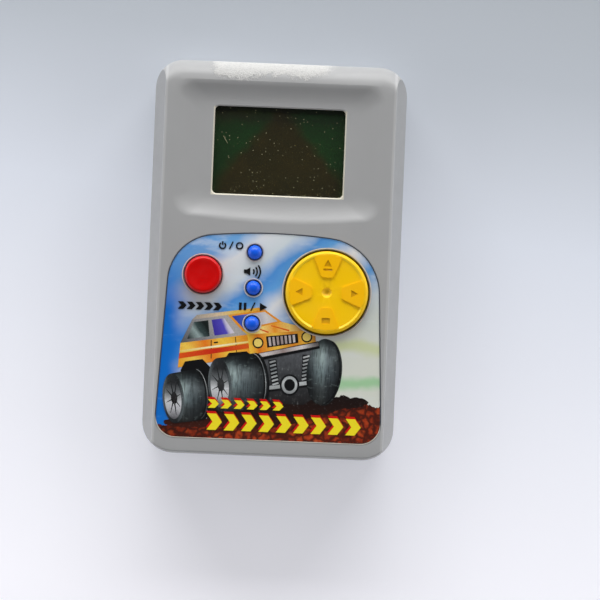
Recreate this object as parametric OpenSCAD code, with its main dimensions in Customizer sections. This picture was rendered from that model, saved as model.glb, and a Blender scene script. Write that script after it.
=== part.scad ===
// Handheld LCD game: a two-part case with a screen, a printed faceplate, a rocking
// direction pad, four push buttons and two AA cells behind a sliding door.
//
// Frame: the game lies on its back. X runs to the player's right, Y towards the screen
// end and Z out of the front. The origin is the middle of the back face.

/* [Case] */
// Width of the case across the parting line
case_w = 80; // [80:0.5:84]
// Length of the case across the parting line
case_l = 125; // [125:0.5:130]
// Height of the flat front face above the back face
case_t = 21; // [21:0.1:21.6]
// Height of the parting line between the two shells
parting_z = 10.5; // [10.2:0.1:10.8]
// Wall thickness of both shells
wall = 1.9; // [1.7:0.1:2]
// Corner radius at the screen end
corner_top = 9; // [8.5:0.5:10]
// Corner radius at the battery end
corner_bottom = 10; // [9.5:0.5:10.5]
// How far the side walls lean in between the parting line and the face
side_draft = 3.4; // [2.6:0.1:3.5]
// How far the round nose at the screen end reaches back from the edge
nose_depth = 6.0; // [5.6:0.1:6.2]

/* [Screen] */
// Width of the screen opening
screen_w = 41.4; // [40:0.2:43]
// Height of the screen opening
screen_h = 27.8; // [27:0.2:29.4]
// Middle of the screen opening along Y
screen_y = 34.4; // [34:0.2:35.4]
// Depth of the dished panel round the screen
basin_depth = 1.6; // [1.4:0.1:1.7]

/* [Controls] */
// Radius of the direction pad
pad_r = 13.1; // [12.5:0.05:13.4]
// Radius of the large round button
turbo_r = 5.85; // [5.5:0.05:6.3]
// Radius of each small round key
key_r = 2.2; // [2.1:0.05:2.4]
// Spacing of the small keys along Y
key_pitch = 11.25; // [11:0.05:11.5]
// Travel of the large button
turbo_travel = 1.0; // [0.8:0.1:1]
// Travel of each small key
key_travel = 0.8; // [0.6:0.1:0.8]

/* [Battery] */
// Diameter of one AA cell
cell_d = 14.2; // [13.5:0.1:14.3]
// Overall length of one AA cell
cell_l = 50.2; // [49.5:0.1:50.4]

/* [Hidden] */

$fn = 64;
corner_steps = 10;              // arc steps in each corner of a case outline
gap = 0.15;                     // clearance between a part and its seat
eps = 0.01;

half_w = case_w / 2;
half_l = case_l / 2;
face_z = case_t;
inner_z = face_z - wall;        // underside of the face in the control area
basin_z = face_z - basin_depth; // floor of the dished panel
basin_inner_z = basin_z - 1.4;  // underside of that floor

// Heights of the board and what stands on it
board_t = 1.2;
board_z = 13.5;                 // top of the board
mat_base = 0.8;
mat_top_z = board_z + mat_base;
dome_top_z = 16.2;
pill_t = 0.4;

// Places of the controls
pad_pos = [17, -9.6];
turbo_pos = [-22.4, -5.4];
keys_x = -6.3;
power_pos = [keys_x, -9 + key_pitch];
sound_pos = [keys_x, -9];
pause_pos = [keys_x, -9 - key_pitch];
key_places = [power_pos, sound_pos, pause_pos];

pad_pivot_z = 17.5;
pad_ball_r = 1.5;
pad_dome_r = 8.6;               // circle on which the four pad domes stand
pad_travel = 0.6;               // how far a pad dome gives before its pill lands
pad_clear = 0.5;                // gap round the pad in its hole, with room to tilt
button_clear = 0.25;            // gap round each button in its hole

// Printed faceplate and the recess it is stuck in
plate_t = 0.35;
plate_recess = 0.45;
plate_bottom_y = 0.9 - half_l + 4.3;

// Battery bay, cells along X
bay_half = 28.2;                // half of the bay's inner length
bay_wall = 1.2;
cell_z = 2.0 + cell_d / 2;
cell_pitch = 15;
cell_upper_y = -36.1;
cell_lower_y = cell_upper_y - cell_pitch;
bay_top_y = cell_upper_y + cell_d / 2 + 0.4;
bay_bottom_y = cell_lower_y - cell_d / 2 - 0.4;
bay_roof_z = cell_z + cell_d / 2 + 0.4;
contact_t = 0.4;
tab_plus_y = cell_lower_y + 2.9; // solder tabs that stick out of the bay's left wall
tab_minus_y = cell_upper_y;
tab_z = cell_z + 2.2;
tab_l = 1.6;

// Sliding battery door
door_half = 28;
door_top_y = bay_top_y + 1.6;
door_t = 1.7;
door_end_z = 8;                 // top of the door's end wall
tongue_w = 1;
tongue_z = 0.8;

// Fasteners
case_boss_places = [[-33, 54], [33, 54], [-33.4, -52.6], [33.4, -52.6]];
board_boss_places = [[-32.6, 12], [32.6, 12], [-32.6, -21.5], [33.4, -23]];
case_screw_head_z = 5;
board_top_y = 57.8;
board_bottom_y = -26.4;
board_half = 34.2;

// Piezo sounder in the back
piezo_pos = [0, 31];
piezo_r = 13.5;
piezo_z = 3.2;

wire_r = 0.6;
wire_sides = 8;

// ---------------------------------------------------------------- outlines and sweeps

function unit(v) = v / norm(v);

// Points of the arc that rounds corner b of the path a, b, c
function round_corner(a, b, c, r, n) =
    let (
        u = unit(a - b),
        v = unit(c - b),
        half = acos(max(-1, min(1, u * v))) / 2,
        centre = b + unit(u + v) * r / sin(half),
        from = b + u * r / tan(half) - centre,
        to = b + v * r / tan(half) - centre,
        start = atan2(from.y, from.x),
        turn = atan2(to.y, to.x) - start,
        sweep = turn > 180 ? turn - 360 : turn < -180 ? turn + 360 : turn
    )
    [for (i = [0 : n]) centre + r * [cos(start + sweep * i / n), sin(start + sweep * i / n)]];

// Outline of a polygon with each corner rounded to its own radius
function rounded(corners, radii, n = corner_steps) =
    let (m = len(corners))
    [for (i = [0 : m - 1])
        each round_corner(corners[(i + m - 1) % m], corners[i], corners[(i + 1) % m],
            radii[i], n)];

function box_corners(half_x, y_low, y_high) =
    [[half_x, y_low], [half_x, y_high], [-half_x, y_high], [-half_x, y_low]];

// Case outline, moved in by a different amount at the sides, the top and the bottom
function case_outline(side, top, bottom, shrink = 0) =
    let (rt = max(1, corner_top - shrink), rb = max(1, corner_bottom - shrink))
    rounded(box_corners(half_w - side, bottom - half_l, half_l - top), [rb, rt, rt, rb]);

function even_outline(inset) = case_outline(inset, inset, inset, inset);

// Solid through a stack of [height, outline] levels that all have as many points
module loft(levels) {
    m = len(levels[0][1]);
    last = len(levels) - 1;
    polyhedron(
        points = [for (l = levels) each [for (p = l[1]) [p.x, p.y, l[0]]]],
        faces = concat(
            [[for (i = [0 : m - 1]) i]],
            [[for (i = [m - 1 : -1 : 0]) last * m + i]],
            [for (k = [0 : last - 1], i = [0 : m - 1])
                let (a = k * m + i, b = k * m + (i + 1) % m)
                each [[a, a + m, b], [b, a + m, b + m]]]
        )
    );
}

// Round wire through a list of points
module wire(path, r, sides, ref) {
    n = len(path);
    function tangent(i) = unit(path[min(i + 1, n - 1)] - path[max(i - 1, 0)]);
    rings = [for (i = [0 : n - 1])
        let (t = tangent(i), u = unit(cross(t, ref)), v = cross(t, u))
        each [for (k = [0 : sides - 1])
            path[i] + r * (u * cos(360 * k / sides) + v * sin(360 * k / sides))]];
    polyhedron(
        points = rings,
        faces = concat(
            [[for (k = [sides - 1 : -1 : 0]) k]],
            [[for (k = [0 : sides - 1]) (n - 1) * sides + k]],
            [for (i = [0 : n - 2], k = [0 : sides - 1])
                let (a = i * sides + k, b = i * sides + (k + 1) % sides)
                each [[a, b, a + sides], [b, b + sides, a + sides]]]
        )
    );
}

// Smooth curve through a few points
function curve(p, steps = 6) =
    let (n = len(p))
    concat([for (i = [0 : n - 2], s = [0 : steps - 1])
        let (
            t = s / steps,
            a = p[max(i - 1, 0)], b = p[i], c = p[i + 1], d = p[min(i + 2, n - 1)]
        )
        0.5 * (2 * b + (c - a) * t + (2 * a - 5 * b + 4 * c - d) * t * t
            + (3 * b - a - 3 * c + d) * t * t * t)], [p[n - 1]]);

module tube(r_out, r_in, h) {
    difference() {
        cylinder(r = r_out, h = h);
        translate([0, 0, -eps]) cylinder(r = r_in, h = h + 2 * eps);
    }
}

module at(place, z = 0) {
    translate([place.x, place.y, z]) children();
}

module plate(half_x, y_low, y_high, z, t, r = 1) {
    translate([0, 0, z])
        linear_extrude(t)
            polygon(rounded(box_corners(half_x, y_low, y_high), [r, r, r, r], 4));
}

// ---------------------------------------------------------------- case

// Front of the case before its sides are cut: a round nose at the screen end that runs round
// both corners, and a small rounded foot at the battery end
nose_start_z = face_z - 5.6;
front_levels = concat(
    [for (l = [[0, 0.2], [0.25, 0]])
        [parting_z + l[0], case_outline(l[1], l[1], l[1])]],
    [for (a = [0 : 15 : 90])
        let (
            z = nose_start_z + (face_z - nose_start_z) * sin(a),
            foot = 0.5 * (z - parting_z) / (face_z - parting_z)
                + 0.7 * (1 - sqrt(1 - pow(max(0, 1 - (face_z - z) / 1.2), 2)))
        )
        [z, case_outline(0, nose_depth * (1 - cos(a)), foot)]]
);

// Wedge whose leaning flanks are the flat side bands of the front
function band_x(z) =
    half_w - side_draft * (z - parting_z - 0.25) / (face_z - parting_z - 0.25);
module side_bands() {
    low = parting_z - 1;
    high = face_z + 1;
    translate([0, case_l, 0])
        rotate([90, 0, 0])
            linear_extrude(2 * case_l)
                polygon([[-band_x(low), low], [band_x(low), low], [band_x(high), high],
                    [-band_x(high), high]]);
}

module front_block() {
    intersection() {
        loft(front_levels);
        side_bands();
    }
}

// Back of the case: a small draft and a rounded back edge
back_r = 2.6;
rear_levels = concat(
    [for (a = [0 : 18 : 90])
        [back_r * (1 - cos(a)), even_outline(0.9 + back_r * (1 - sin(a)))]],
    [[parting_z - 0.25, even_outline(0)], [parting_z, even_outline(0.2)]]
);

// Dished panel round the screen: its foot bows towards the controls
function basin_outline(t) =
    let (
        half = screen_w / 2 + 3.1 + 9.6 * t,
        top = (1 - t) * (screen_y + screen_h / 2 + 0.6) + t * (half_l - nose_depth),
        low = (1 - t) * (screen_y - screen_h / 2 - 0.5) + t * 13.4,
        drop = 0.3 + 2.5 * t
    )
    rounded([[half, low], [half, top], [-half, top], [-half, low], [0, low - drop]],
        [3 + 3 * t, 3 + 2 * t, 3 + 2 * t, 3 + 3 * t, 0.6 * half * half / drop]);

// The dish steepens outwards and rolls over at its rim
module basin() {
    steps = 10;
    roll = 0.8;
    loft([for (i = [0 : steps])
        let (t = i / steps, s = t < roll ? t * t / roll : 1 - pow(1 - t, 2) / (1 - roll))
        [basin_z + basin_depth * s + (i == steps ? 0.001 : 0), basin_outline(t)]]);
}

// Faceplate outline: tapered sides, large top corners and a bowed top edge
function plate_outline(grow) =
    rounded([[36.1 + grow, plate_bottom_y - grow], [33 + grow, 6.2 + grow],
        [0, 9.2 + grow], [-33 - grow, 6.2 + grow], [-36.1 - grow, plate_bottom_y - grow]],
        [6.5 + grow, 18 + grow, 180, 15.4 + grow, 6.5 + grow], 12);

module control_holes(extra = 0, z = 0, h = face_z + 1) {
    at(pad_pos, z) cylinder(r = pad_r + pad_clear + extra, h = h, $fn = 96);
    at(turbo_pos, z) cylinder(r = turbo_r + button_clear + extra, h = h);
    for (p = key_places) at(p, z) cylinder(r = key_r + button_clear + extra, h = h);
}

function screen_outline(grow) =
    rounded(box_corners(screen_w / 2 + grow, screen_y - screen_h / 2 - grow,
        screen_y + screen_h / 2 + grow), [for (i = [0 : 3]) 1.4 + grow], 6);

// Opening for the screen with a bevelled rim
module screen_opening() {
    bevel = 0.4;
    translate([0, 0, basin_inner_z - 1])
        linear_extrude(basin_depth + 2) polygon(screen_outline(0));
    loft([[basin_z - bevel, screen_outline(0)], [basin_z + eps, screen_outline(bevel)]]);
}

// Short walls inside the front that guide each control
module control_collars() {
    collar_z = 16.4;
    collar_h = inner_z - collar_z + eps;
    at(pad_pos, collar_z) tube(pad_r + 2.75, pad_r + 1.75, collar_h, $fn = 96);
    at(turbo_pos, collar_z) tube(turbo_r + 2.4, turbo_r + 1.5, collar_h);
    for (p = key_places) at(p, collar_z) tube(key_r + 2.1, key_r + 1.3, collar_h);
}

// Frame that holds the window behind the screen opening
module window_frame() {
    frame_h = 1.1;
    translate([0, 0, basin_inner_z - frame_h])
        linear_extrude(frame_h + eps)
            difference() {
                polygon(rounded(box_corners(25.3, screen_y - 18.7, screen_y + 18.7),
                    [1, 1, 1, 1], 4));
                polygon(rounded(box_corners(24.2, screen_y - 17.6, screen_y + 17.6),
                    [0.6, 0.6, 0.6, 0.6], 4));
            }
}

module front_bosses() {
    for (p = case_boss_places)
        at(p, parting_z + 0.05)
            difference() {
                cylinder(r = 3, h = inner_z - parting_z);
                translate([0, 0, -eps]) cylinder(r = 1.2, h = 6.5);
            }
    for (p = board_boss_places)
        at(p, board_z)
            difference() {
                cylinder(r = 2.3, h = inner_z - board_z + eps);
                translate([0, 0, -eps]) cylinder(r = 1.0, h = 4.2);
            }
}

module front_cavity() {
    difference() {
        loft([
            [parting_z - eps, case_outline(wall, wall, wall, wall)],
            [nose_start_z, case_outline(wall + side_draft * 0.45, wall, wall + 0.3, wall + 0.4)],
            [inner_z - 1.6, case_outline(wall + side_draft * 0.66, wall + 1.2, wall + 0.4,
                wall + 0.8)],
            [inner_z, case_outline(wall + side_draft * 0.82, wall + 2.4, wall + 0.5,
                wall + 1.2)]
        ]);
        plate(half_w, 12.4, half_l, basin_inner_z, inner_z - basin_inner_z + 1);
    }
}

// Tongue that drops inside the rear shell's rim
module parting_lip() {
    translate([0, 0, parting_z - 1])
        linear_extrude(1.6)
            difference() {
                polygon(even_outline(1.05));
                polygon(even_outline(wall));
            }
}

// Rebate in the rear shell's rim that takes the tongue
module parting_groove() {
    translate([0, 0, parting_z - 1.15])
        linear_extrude(2)
            difference() {
                polygon(even_outline(0.95));
                polygon(even_outline(wall + 0.3));
            }
}

module front_shell() {
    color("#a3a4a6")
        difference() {
            union() {
                difference() {
                    front_block();
                    front_cavity();
                }
                control_collars();
                window_frame();
                front_bosses();
                parting_lip();
            }
            basin();
            translate([0, 0, face_z - plate_recess])
                linear_extrude(plate_recess + 1) polygon(plate_outline(gap));
            control_holes();
            screen_opening();
        }
}

// ---------------------------------------------------------------- rear shell and door

// Space that the battery door fills, grown by grow for its clearance. Its tongues start
// tongue_start in from the end; their slots in the shell run right out of it.
module door_space(grow, tongue_start) {
    x = door_half + grow;
    y_low = -half_l - 1;
    translate([-x, y_low, -1])
        cube([2 * x, door_top_y + grow - y_low, door_t + 1 + grow]);
    translate([-x, y_low, -1])
        cube([2 * x, wall + 1.1 + grow, door_end_z + 1 + grow]);
    for (s = [-1, 1])
        translate([s * (x + tongue_w / 2) - tongue_w / 2, y_low + tongue_start,
            tongue_z - grow])
            cube([tongue_w, door_top_y + grow - y_low - tongue_start,
                door_t - tongue_z + 2 * grow]);
}

module bay_box(grow, z_low, z_high) {
    translate([-bay_half - grow, bay_bottom_y - grow, z_low])
        cube([2 * (bay_half + grow), bay_top_y - bay_bottom_y + 2 * grow, z_high - z_low]);
}

// Round-topped cradle ribs that keep the cells apart
module cell_cradles() {
    rib_t = 1;
    for (x = [-14, 14])
        translate([x - rib_t / 2, bay_bottom_y, bay_roof_z - 4])
            difference() {
                cube([rib_t, bay_top_y - bay_bottom_y, 4 + eps]);
                for (y = [cell_upper_y, cell_lower_y])
                    translate([-1, y - bay_bottom_y, cell_z - bay_roof_z + 4])
                        rotate([0, 90, 0]) cylinder(r = cell_d / 2 + 0.25, h = rib_t + 2);
            }
}

module grille() {
    hole_r = 0.8;
    at(piezo_pos) {
        translate([0, 0, -1]) cylinder(r = hole_r, h = wall + 2);
        for (ring = [1 : 3], i = [0 : 6 * ring - 1])
            rotate(60 * i / ring)
                translate([2.9 * ring, 0, -1]) cylinder(r = hole_r, h = wall + 2, $fn = 24);
    }
}

module rear_bosses() {
    for (p = case_boss_places) at(p, eps) cylinder(r = 3.7, h = parting_z - eps);
}

module rear_screw_holes() {
    for (p = case_boss_places) {
        at(p, -1) cylinder(r = 2.9, h = case_screw_head_z + 1);
        at(p, -1) cylinder(r = 1.55, h = parting_z + 2);
    }
}

// Posts under the board, so that pressing a key can't bend it
module board_posts() {
    for (p = [[-12, 2], [4, -20], [30, 20], [-30, 20], [0, 10]])
        at(p, wall - 0.2) cylinder(r = 1.5, h = board_z - board_t - wall + 0.2);
}

module rear_shell() {
    color("#9d9ea0")
        difference() {
            union() {
                difference() {
                    loft(rear_levels);
                    loft([
                        [wall, even_outline(wall + 1.6)],
                        [wall + 1.2, even_outline(wall + 0.7)],
                        [parting_z + eps, even_outline(wall)]
                    ]);
                }
                bay_box(bay_wall, 0.9, bay_roof_z + 1);
                intersection() {
                    rear_bosses();
                    loft(rear_levels);
                }
                board_posts();
                at(piezo_pos, wall - 0.2) tube(piezo_r + 1.4, piezo_r - 1.6, 2.2, $fn = 96);
            }
            difference() {
                bay_box(0, -1, bay_roof_z);
                cell_cradles();
            }
            at(piezo_pos, piezo_z - 0.05) cylinder(r = piezo_r + 0.2, h = 2, $fn = 96);
            door_space(gap, 0);
            grille();
            rear_screw_holes();
            parting_groove();
            for (y = [tab_plus_y, tab_minus_y])
                translate([-bay_half - 3, y - 1.6, tab_z - 0.3]) cube([4, 3.2, 1]);
        }
}

module battery_door() {
    grip_y = -40;
    color("#9a9b9d")
        difference() {
            intersection() {
                loft([for (l = rear_levels) [l[0] < eps ? 0 : l[0], l[1]]]);
                door_space(0, 4.5);
            }
            // ribbed thumb grip and an arrow, both sunk so that the back stays flat
            for (i = [0 : 5])
                translate([-9, grip_y - 1.8 * i, -1]) cube([18, 0.9, 1.5]);
            translate([0, grip_y + 5.5, -1])
                linear_extrude(1.4) polygon([[-3.4, 2.6], [3.4, 2.6], [0, -2]]);
        }
}

// ---------------------------------------------------------------- faceplate and screen

module faceplate() {
    color("#4f8fd6")
        difference() {
            translate([0, 0, face_z - plate_recess])
                linear_extrude(plate_t) polygon(plate_outline(0));
            control_holes(0.3);
        }
}

window_top_z = basin_inner_z - 0.02;
window_t = 0.9;

module screen_window() {
    color([0.85, 0.9, 0.88, 0.4])
        plate(24, screen_y - 17.4, screen_y + 17.4, window_top_z - window_t, window_t, 0.8);
}

// Glass sandwich, named from the front
polariser_t = 0.2;
glass_t = 0.8;
lcd_top_z = window_top_z - window_t - 0.05;
front_glass_z = lcd_top_z - polariser_t - glass_t;
rear_glass_z = front_glass_z - glass_t;
lcd_bottom_z = rear_glass_z - polariser_t;
card_t = 0.25;

module lcd_front_polariser() {
    color([0.12, 0.14, 0.12, 0.8])
        plate(22.6, screen_y - 15.6, screen_y + 15.6, lcd_top_z - polariser_t, polariser_t, 0.3);
}

module lcd_front_glass() {
    color([0.75, 0.85, 0.8, 0.5])
        plate(23.4, screen_y - 16, screen_y + 19.2, front_glass_z, glass_t, 0.3);
}

module lcd_rear_glass() {
    color([0.75, 0.85, 0.8, 0.5])
        plate(23.4, screen_y - 16, screen_y + 15.8, rear_glass_z, glass_t, 0.3);
}

module lcd_rear_polariser() {
    color([0.2, 0.24, 0.2, 0.8])
        plate(22.6, screen_y - 15.6, screen_y + 15.6, lcd_bottom_z, polariser_t, 0.3);
}

module backdrop_card() {
    color("#31502f")
        plate(22.8, screen_y - 15.8, screen_y + 15.6, lcd_bottom_z - card_t - 0.02, card_t, 0.3);
}

// Tray that carries the glass on the board and keeps the contact strip upright
module lcd_holder() {
    holder_top_z = front_glass_z - 0.05;
    color("#d8d8d2")
        difference() {
            plate(25.4, screen_y - 17.6, screen_y + 22.4, board_z + 0.02,
                holder_top_z - board_z - 0.02, 1);
            plate(23.6, screen_y - 16.2, screen_y + 16, lcd_bottom_z - card_t - 0.04, 9, 0.4);
            plate(21.4, screen_y - 14, screen_y + 14, board_z - 1, 9, 0.4);
            plate(22, screen_y + 17, screen_y + 18.8, board_z - 1, 9, 0.2);
        }
}

// Rubber strip that joins the glass to the board
module zebra_strip() {
    color("#3b3b3f")
        plate(21.8, screen_y + 17.1, screen_y + 18.7, board_z + 0.02,
            front_glass_z - board_z - 0.04, 0.2);
}

// ---------------------------------------------------------------- board

module main_board() {
    color("#1f6a3a")
        difference() {
            plate(board_half, board_bottom_y, board_top_y, board_z - board_t, board_t, 2);
            for (p = case_boss_places) at(p, 0) cylinder(r = 4.2, h = case_t);
            for (p = board_boss_places) at(p, 0) cylinder(r = 1.2, h = case_t);
            for (p = [[-24, -23], [-20, -23], [10, 8], [14, 8]])
                at(p, 0) cylinder(r = wire_r + 0.3, h = case_t, $fn = 24);
        }
}

module chip_blob() {
    color("#16171a")
        at([-12, 30], board_z - board_t - 1.6)
            rotate_extrude()
                polygon([for (a = [0 : 15 : 90]) [7.5 * cos(a), 1.59 - 1.59 * sin(a)],
                    [0, 1.59]]);
}

module board_capacitor() {
    color("#22304f")
        at([18, 38], board_z - board_t - 0.02 - 6) {
            difference() {
                cylinder(r = 2.5, h = 6);
                translate([0, 0, 4.6]) tube(3, 2.3, 0.7);
            }
        }
}

module board_resistors() {
    color("#c9a26a")
        for (i = [0 : 3])
            translate([8 + 5 * i, 19, board_z - board_t - 1.3]) {
                rotate([-90, 0, 0]) cylinder(r = 1.1, h = 5.6, $fn = 32);
                translate([0, -1.8, 0])
                    rotate([-90, 0, 0]) cylinder(r = 0.3, h = 9.2, $fn = 16);
                for (y = [-1.8, 7.1])
                    translate([-0.3, y, 0]) cube([0.6, 0.3, 1.28]);
            }
}

module board_crystal() {
    color("#c8cacc")
        translate([18, 48, board_z - board_t - 3.52])
            intersection() {
                translate([-4, -1.6, 0]) cube([8, 3.2, 3.5]);
                union() {
                    for (x = [-2.4, 2.4]) translate([x, 0, 0]) cylinder(r = 1.6, h = 3.5);
                    translate([-2.4, -1.6, 0]) cube([4.8, 3.2, 3.5]);
                }
            }
}

module pan_screw(head_r, head_h, shank_r, shank_l) {
    difference() {
        union() {
            rotate_extrude()
                polygon([[0, 0], [head_r - 0.5, 0], [head_r, 0.5], [head_r, head_h],
                    [0, head_h]]);
            cylinder(r = shank_r, h = head_h + shank_l);
        }
        for (a = [0, 90])
            rotate(a) translate([-head_r * 0.6, -0.3, -1]) cube([head_r * 1.2, 0.6, 1.8]);
    }
}

module board_screws() {
    color("#b9b9b4")
        for (p = board_boss_places)
            at(p, board_z - board_t - 1.42) pan_screw(2.1, 1.4, 0.95, 4.6);
}

module case_screws() {
    color("#b9b9b4")
        for (p = case_boss_places)
            at(p, case_screw_head_z - 2.02) pan_screw(2.5, 2, 1.15, 11.2);
}

// ---------------------------------------------------------------- sounder and wires

module piezo_plate() {
    color("#c79a3f")
        at(piezo_pos, piezo_z) cylinder(r = piezo_r, h = 0.3, $fn = 96);
}

module piezo_ceramic() {
    color("#dcdcd6")
        at(piezo_pos, piezo_z + 0.32) cylinder(r = 9.8, h = 0.25, $fn = 96);
}

wire_up = [1, 0.2, 0.1];

module piezo_wire_red() {
    color("#b3261e")
        wire(curve([[3, 25, 4.42], [5, 21, 4.8], [7.2, 16.5, 6], [9.4, 11.5, 8],
            [10, 8.6, 10.5], [10, 8, 13]]), wire_r, wire_sides, wire_up);
}

module piezo_wire_black() {
    color("#1b1b1d")
        wire(curve([[8.2, 22.4, 4.16], [10.6, 18.9, 5], [12.6, 15, 6], [13.8, 11.5, 8],
            [14, 8.6, 10.5], [14, 8, 13]]), wire_r, wire_sides, wire_up);
}

wire_x = -bay_half - bay_wall - 1;
wire_z = tab_z + contact_t / 2;

module battery_wire_red() {
    color("#b3261e")
        wire(curve([[wire_x, tab_plus_y + 1.42, wire_z], [wire_x - 0.4, -43, wire_z],
            [wire_x - 1.4, -36, wire_z - 0.2], [wire_x - 1.2, -29.5, wire_z - 0.4],
            [-29, -25.4, wire_z - 0.8], [-25.4, -23.4, wire_z - 1], [-24, -23, 11.8],
            [-24, -23, 13]]), wire_r, wire_sides, wire_up);
}

module battery_wire_black() {
    color("#1b1b1d")
        wire(curve([[wire_x, tab_minus_y + 1.42, wire_z], [wire_x - 0.2, -32, 10.4],
            [wire_x - 0.4, -29, 8.6], [-28.6, -25.9, 8], [-23.6, -24.4, 8.2],
            [-20.4, -23.2, 9.6], [-20, -23, 13]]), wire_r, wire_sides, wire_up);
}

// ---------------------------------------------------------------- battery

// Flat contact at one end of the bay; side is -1 at the left end and 1 at the right
module contact_blade(side, y_mid, width) {
    x = side * (bay_half - contact_t / 2);
    translate([x - contact_t / 2 + 0.01 * -side, y_mid - width / 2, cell_z - 5])
        cube([contact_t, width, 10]);
}

module contact_tab(y_mid) {
    translate([-bay_half - bay_wall - tab_l, y_mid - 1.4, tab_z])
        cube([bay_wall + tab_l + 0.2, 2.8, contact_t]);
}

module contact_bump(side, y_mid) {
    translate([side * (bay_half - contact_t), y_mid, cell_z])
        rotate([0, -side * 90, 0]) cylinder(r1 = 2.6, r2 = 1.8, h = 1);
}

// Conical spring between a blade and the flat end of a cell
module contact_spring(side, y_mid) {
    turns = 4.5;
    steps = 16;
    base_x = side * (bay_half - contact_t - 0.4);
    span = spring_span - 0.8;
    path = [for (i = [0 : turns * steps])
        let (t = i / (turns * steps), a = 360 * turns * t, r = 4.6 - 2.4 * t)
        [base_x - side * span * t, y_mid + r * cos(a), cell_z + r * sin(a)]];
    wire(path, 0.35, 6, [1, 0, 0]);
}

plus_gap = contact_t + 1.05;
spring_span = 2 * bay_half - cell_l - plus_gap - contact_t;

module contact_plus() {
    color("#c9ccd0")
        union() {
            contact_blade(-1, cell_lower_y, 9);
            contact_tab(tab_plus_y);
            contact_bump(-1, cell_lower_y);
        }
}

module contact_minus() {
    color("#c9ccd0")
        union() {
            contact_blade(-1, cell_upper_y, 11);
            contact_tab(tab_minus_y);
        }
}

module contact_minus_spring() {
    color("#d3d5d8") contact_spring(-1, cell_upper_y);
}

module contact_bridge() {
    color("#c9ccd0")
        union() {
            contact_blade(1, (cell_upper_y + cell_lower_y) / 2, cell_pitch + 10);
            contact_bump(1, cell_upper_y);
        }
}

module contact_bridge_spring() {
    color("#d3d5d8") contact_spring(1, cell_lower_y);
}

// One cell lying along X with its button end towards side
module cell(side, y_mid) {
    nub = 1.2;
    r = cell_d / 2;
    translate([side * (bay_half - plus_gap), y_mid, cell_z])
        rotate([0, -side * 90, 0])
            rotate_extrude()
                polygon([[0, 0], [2.4, 0], [2.7, 0.3], [2.7, nub], [r - 1.2, nub],
                    [r, nub + 0.9], [r, cell_l - 0.9], [r - 0.9, cell_l], [0, cell_l]]);
}

module cell_upper() {
    color("#c28b2c") cell(1, cell_upper_y);
}

module cell_lower() {
    color("#c28b2c") cell(-1, cell_lower_y);
}

// ---------------------------------------------------------------- buttons

flange_z = inner_z - 1.1;       // underside of a button's flange at rest
flange_t = 0.9;

// Round cap with a flange below the face and a post that presses the mat
module round_button(r, top_z, edge, dish, flange_r) {
    edge_steps = 6;
    rotate_extrude()
        polygon(concat(
            [[0, dome_top_z + 0.02], [min(r * 0.4, 2), dome_top_z + 0.02],
                [min(r * 0.4, 2), top_z - 1.9], [r - 1.2, top_z - 1.9], [r - 1.2, flange_z],
                [flange_r, flange_z], [flange_r, flange_z + flange_t],
                [r, flange_z + flange_t]],
            [for (i = [0 : edge_steps])
                let (a = 90 * i / edge_steps)
                [r - edge + edge * cos(a), top_z - edge + edge * sin(a)]],
            dish > 0 ? [[r * 0.55, top_z - dish * 0.75], [0, top_z - dish]] : [[0, top_z]]
        ));
}

module turbo_button() {
    color("#c01218")
        at(turbo_pos) round_button(turbo_r, face_z + 2.6, 0.9, 0.25, turbo_r + 1.2);
}

module small_key() {
    edge_steps = 8;
    dome = 1.5;
    top_z = face_z + 1.7;
    flange_r = key_r + 1;
    rotate_extrude()
        polygon(concat(
            [[0, dome_top_z + 0.02], [1.1, dome_top_z + 0.02], [1.1, flange_z],
                [flange_r, flange_z], [flange_r, flange_z + flange_t],
                [key_r, flange_z + flange_t]],
            [for (i = [0 : edge_steps])
                let (a = 90 * i / edge_steps)
                [key_r * cos(a), top_z - dome + dome * sin(a)]]
        ));
}

module power_key() {
    color("#2a62d8") at(power_pos) small_key();
}

module sound_key() {
    color("#2a62d8") at(sound_pos) small_key();
}

module pause_key() {
    color("#2a62d8") at(pause_pos) small_key();
}

pad_bottom_z = dome_top_z + 0.02;
pad_top_z = face_z + 1.5;       // sunk middle of the pad
pad_arm_z = pad_top_z + 0.4;    // tops of the four raised arms

// Wedge-shaped raised arm that stops just inside the rim
module pad_arm() {
    linear_extrude(pad_arm_z - pad_top_z + 0.8)
        polygon([[4.8, -1.5], [5.2, -1.95], [pad_r - 2.2, -4.3], [pad_r - 1.5, -3.4],
            [pad_r - 1.2, 0], [pad_r - 1.5, 3.4], [pad_r - 2.2, 4.3], [5.2, 1.95], [4.8, 1.5]]);
}

module pad_marks() {
    depth = 0.25;
    z = pad_arm_z - depth;
    triangle = [[-1.1, -1.2], [-1.1, 1.2], [1.1, 0]];
    for (a = [0, 90, 180])
        rotate(a) translate([a == 90 ? 9.4 : 8.8, 0, z])
            linear_extrude(1) polygon(triangle);
    translate([-1.4, 7, z]) cube([2.8, 0.6, 1]);
    translate([-1.3, -9.8, z]) cube([2.6, 1.8, 1]);
}

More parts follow.
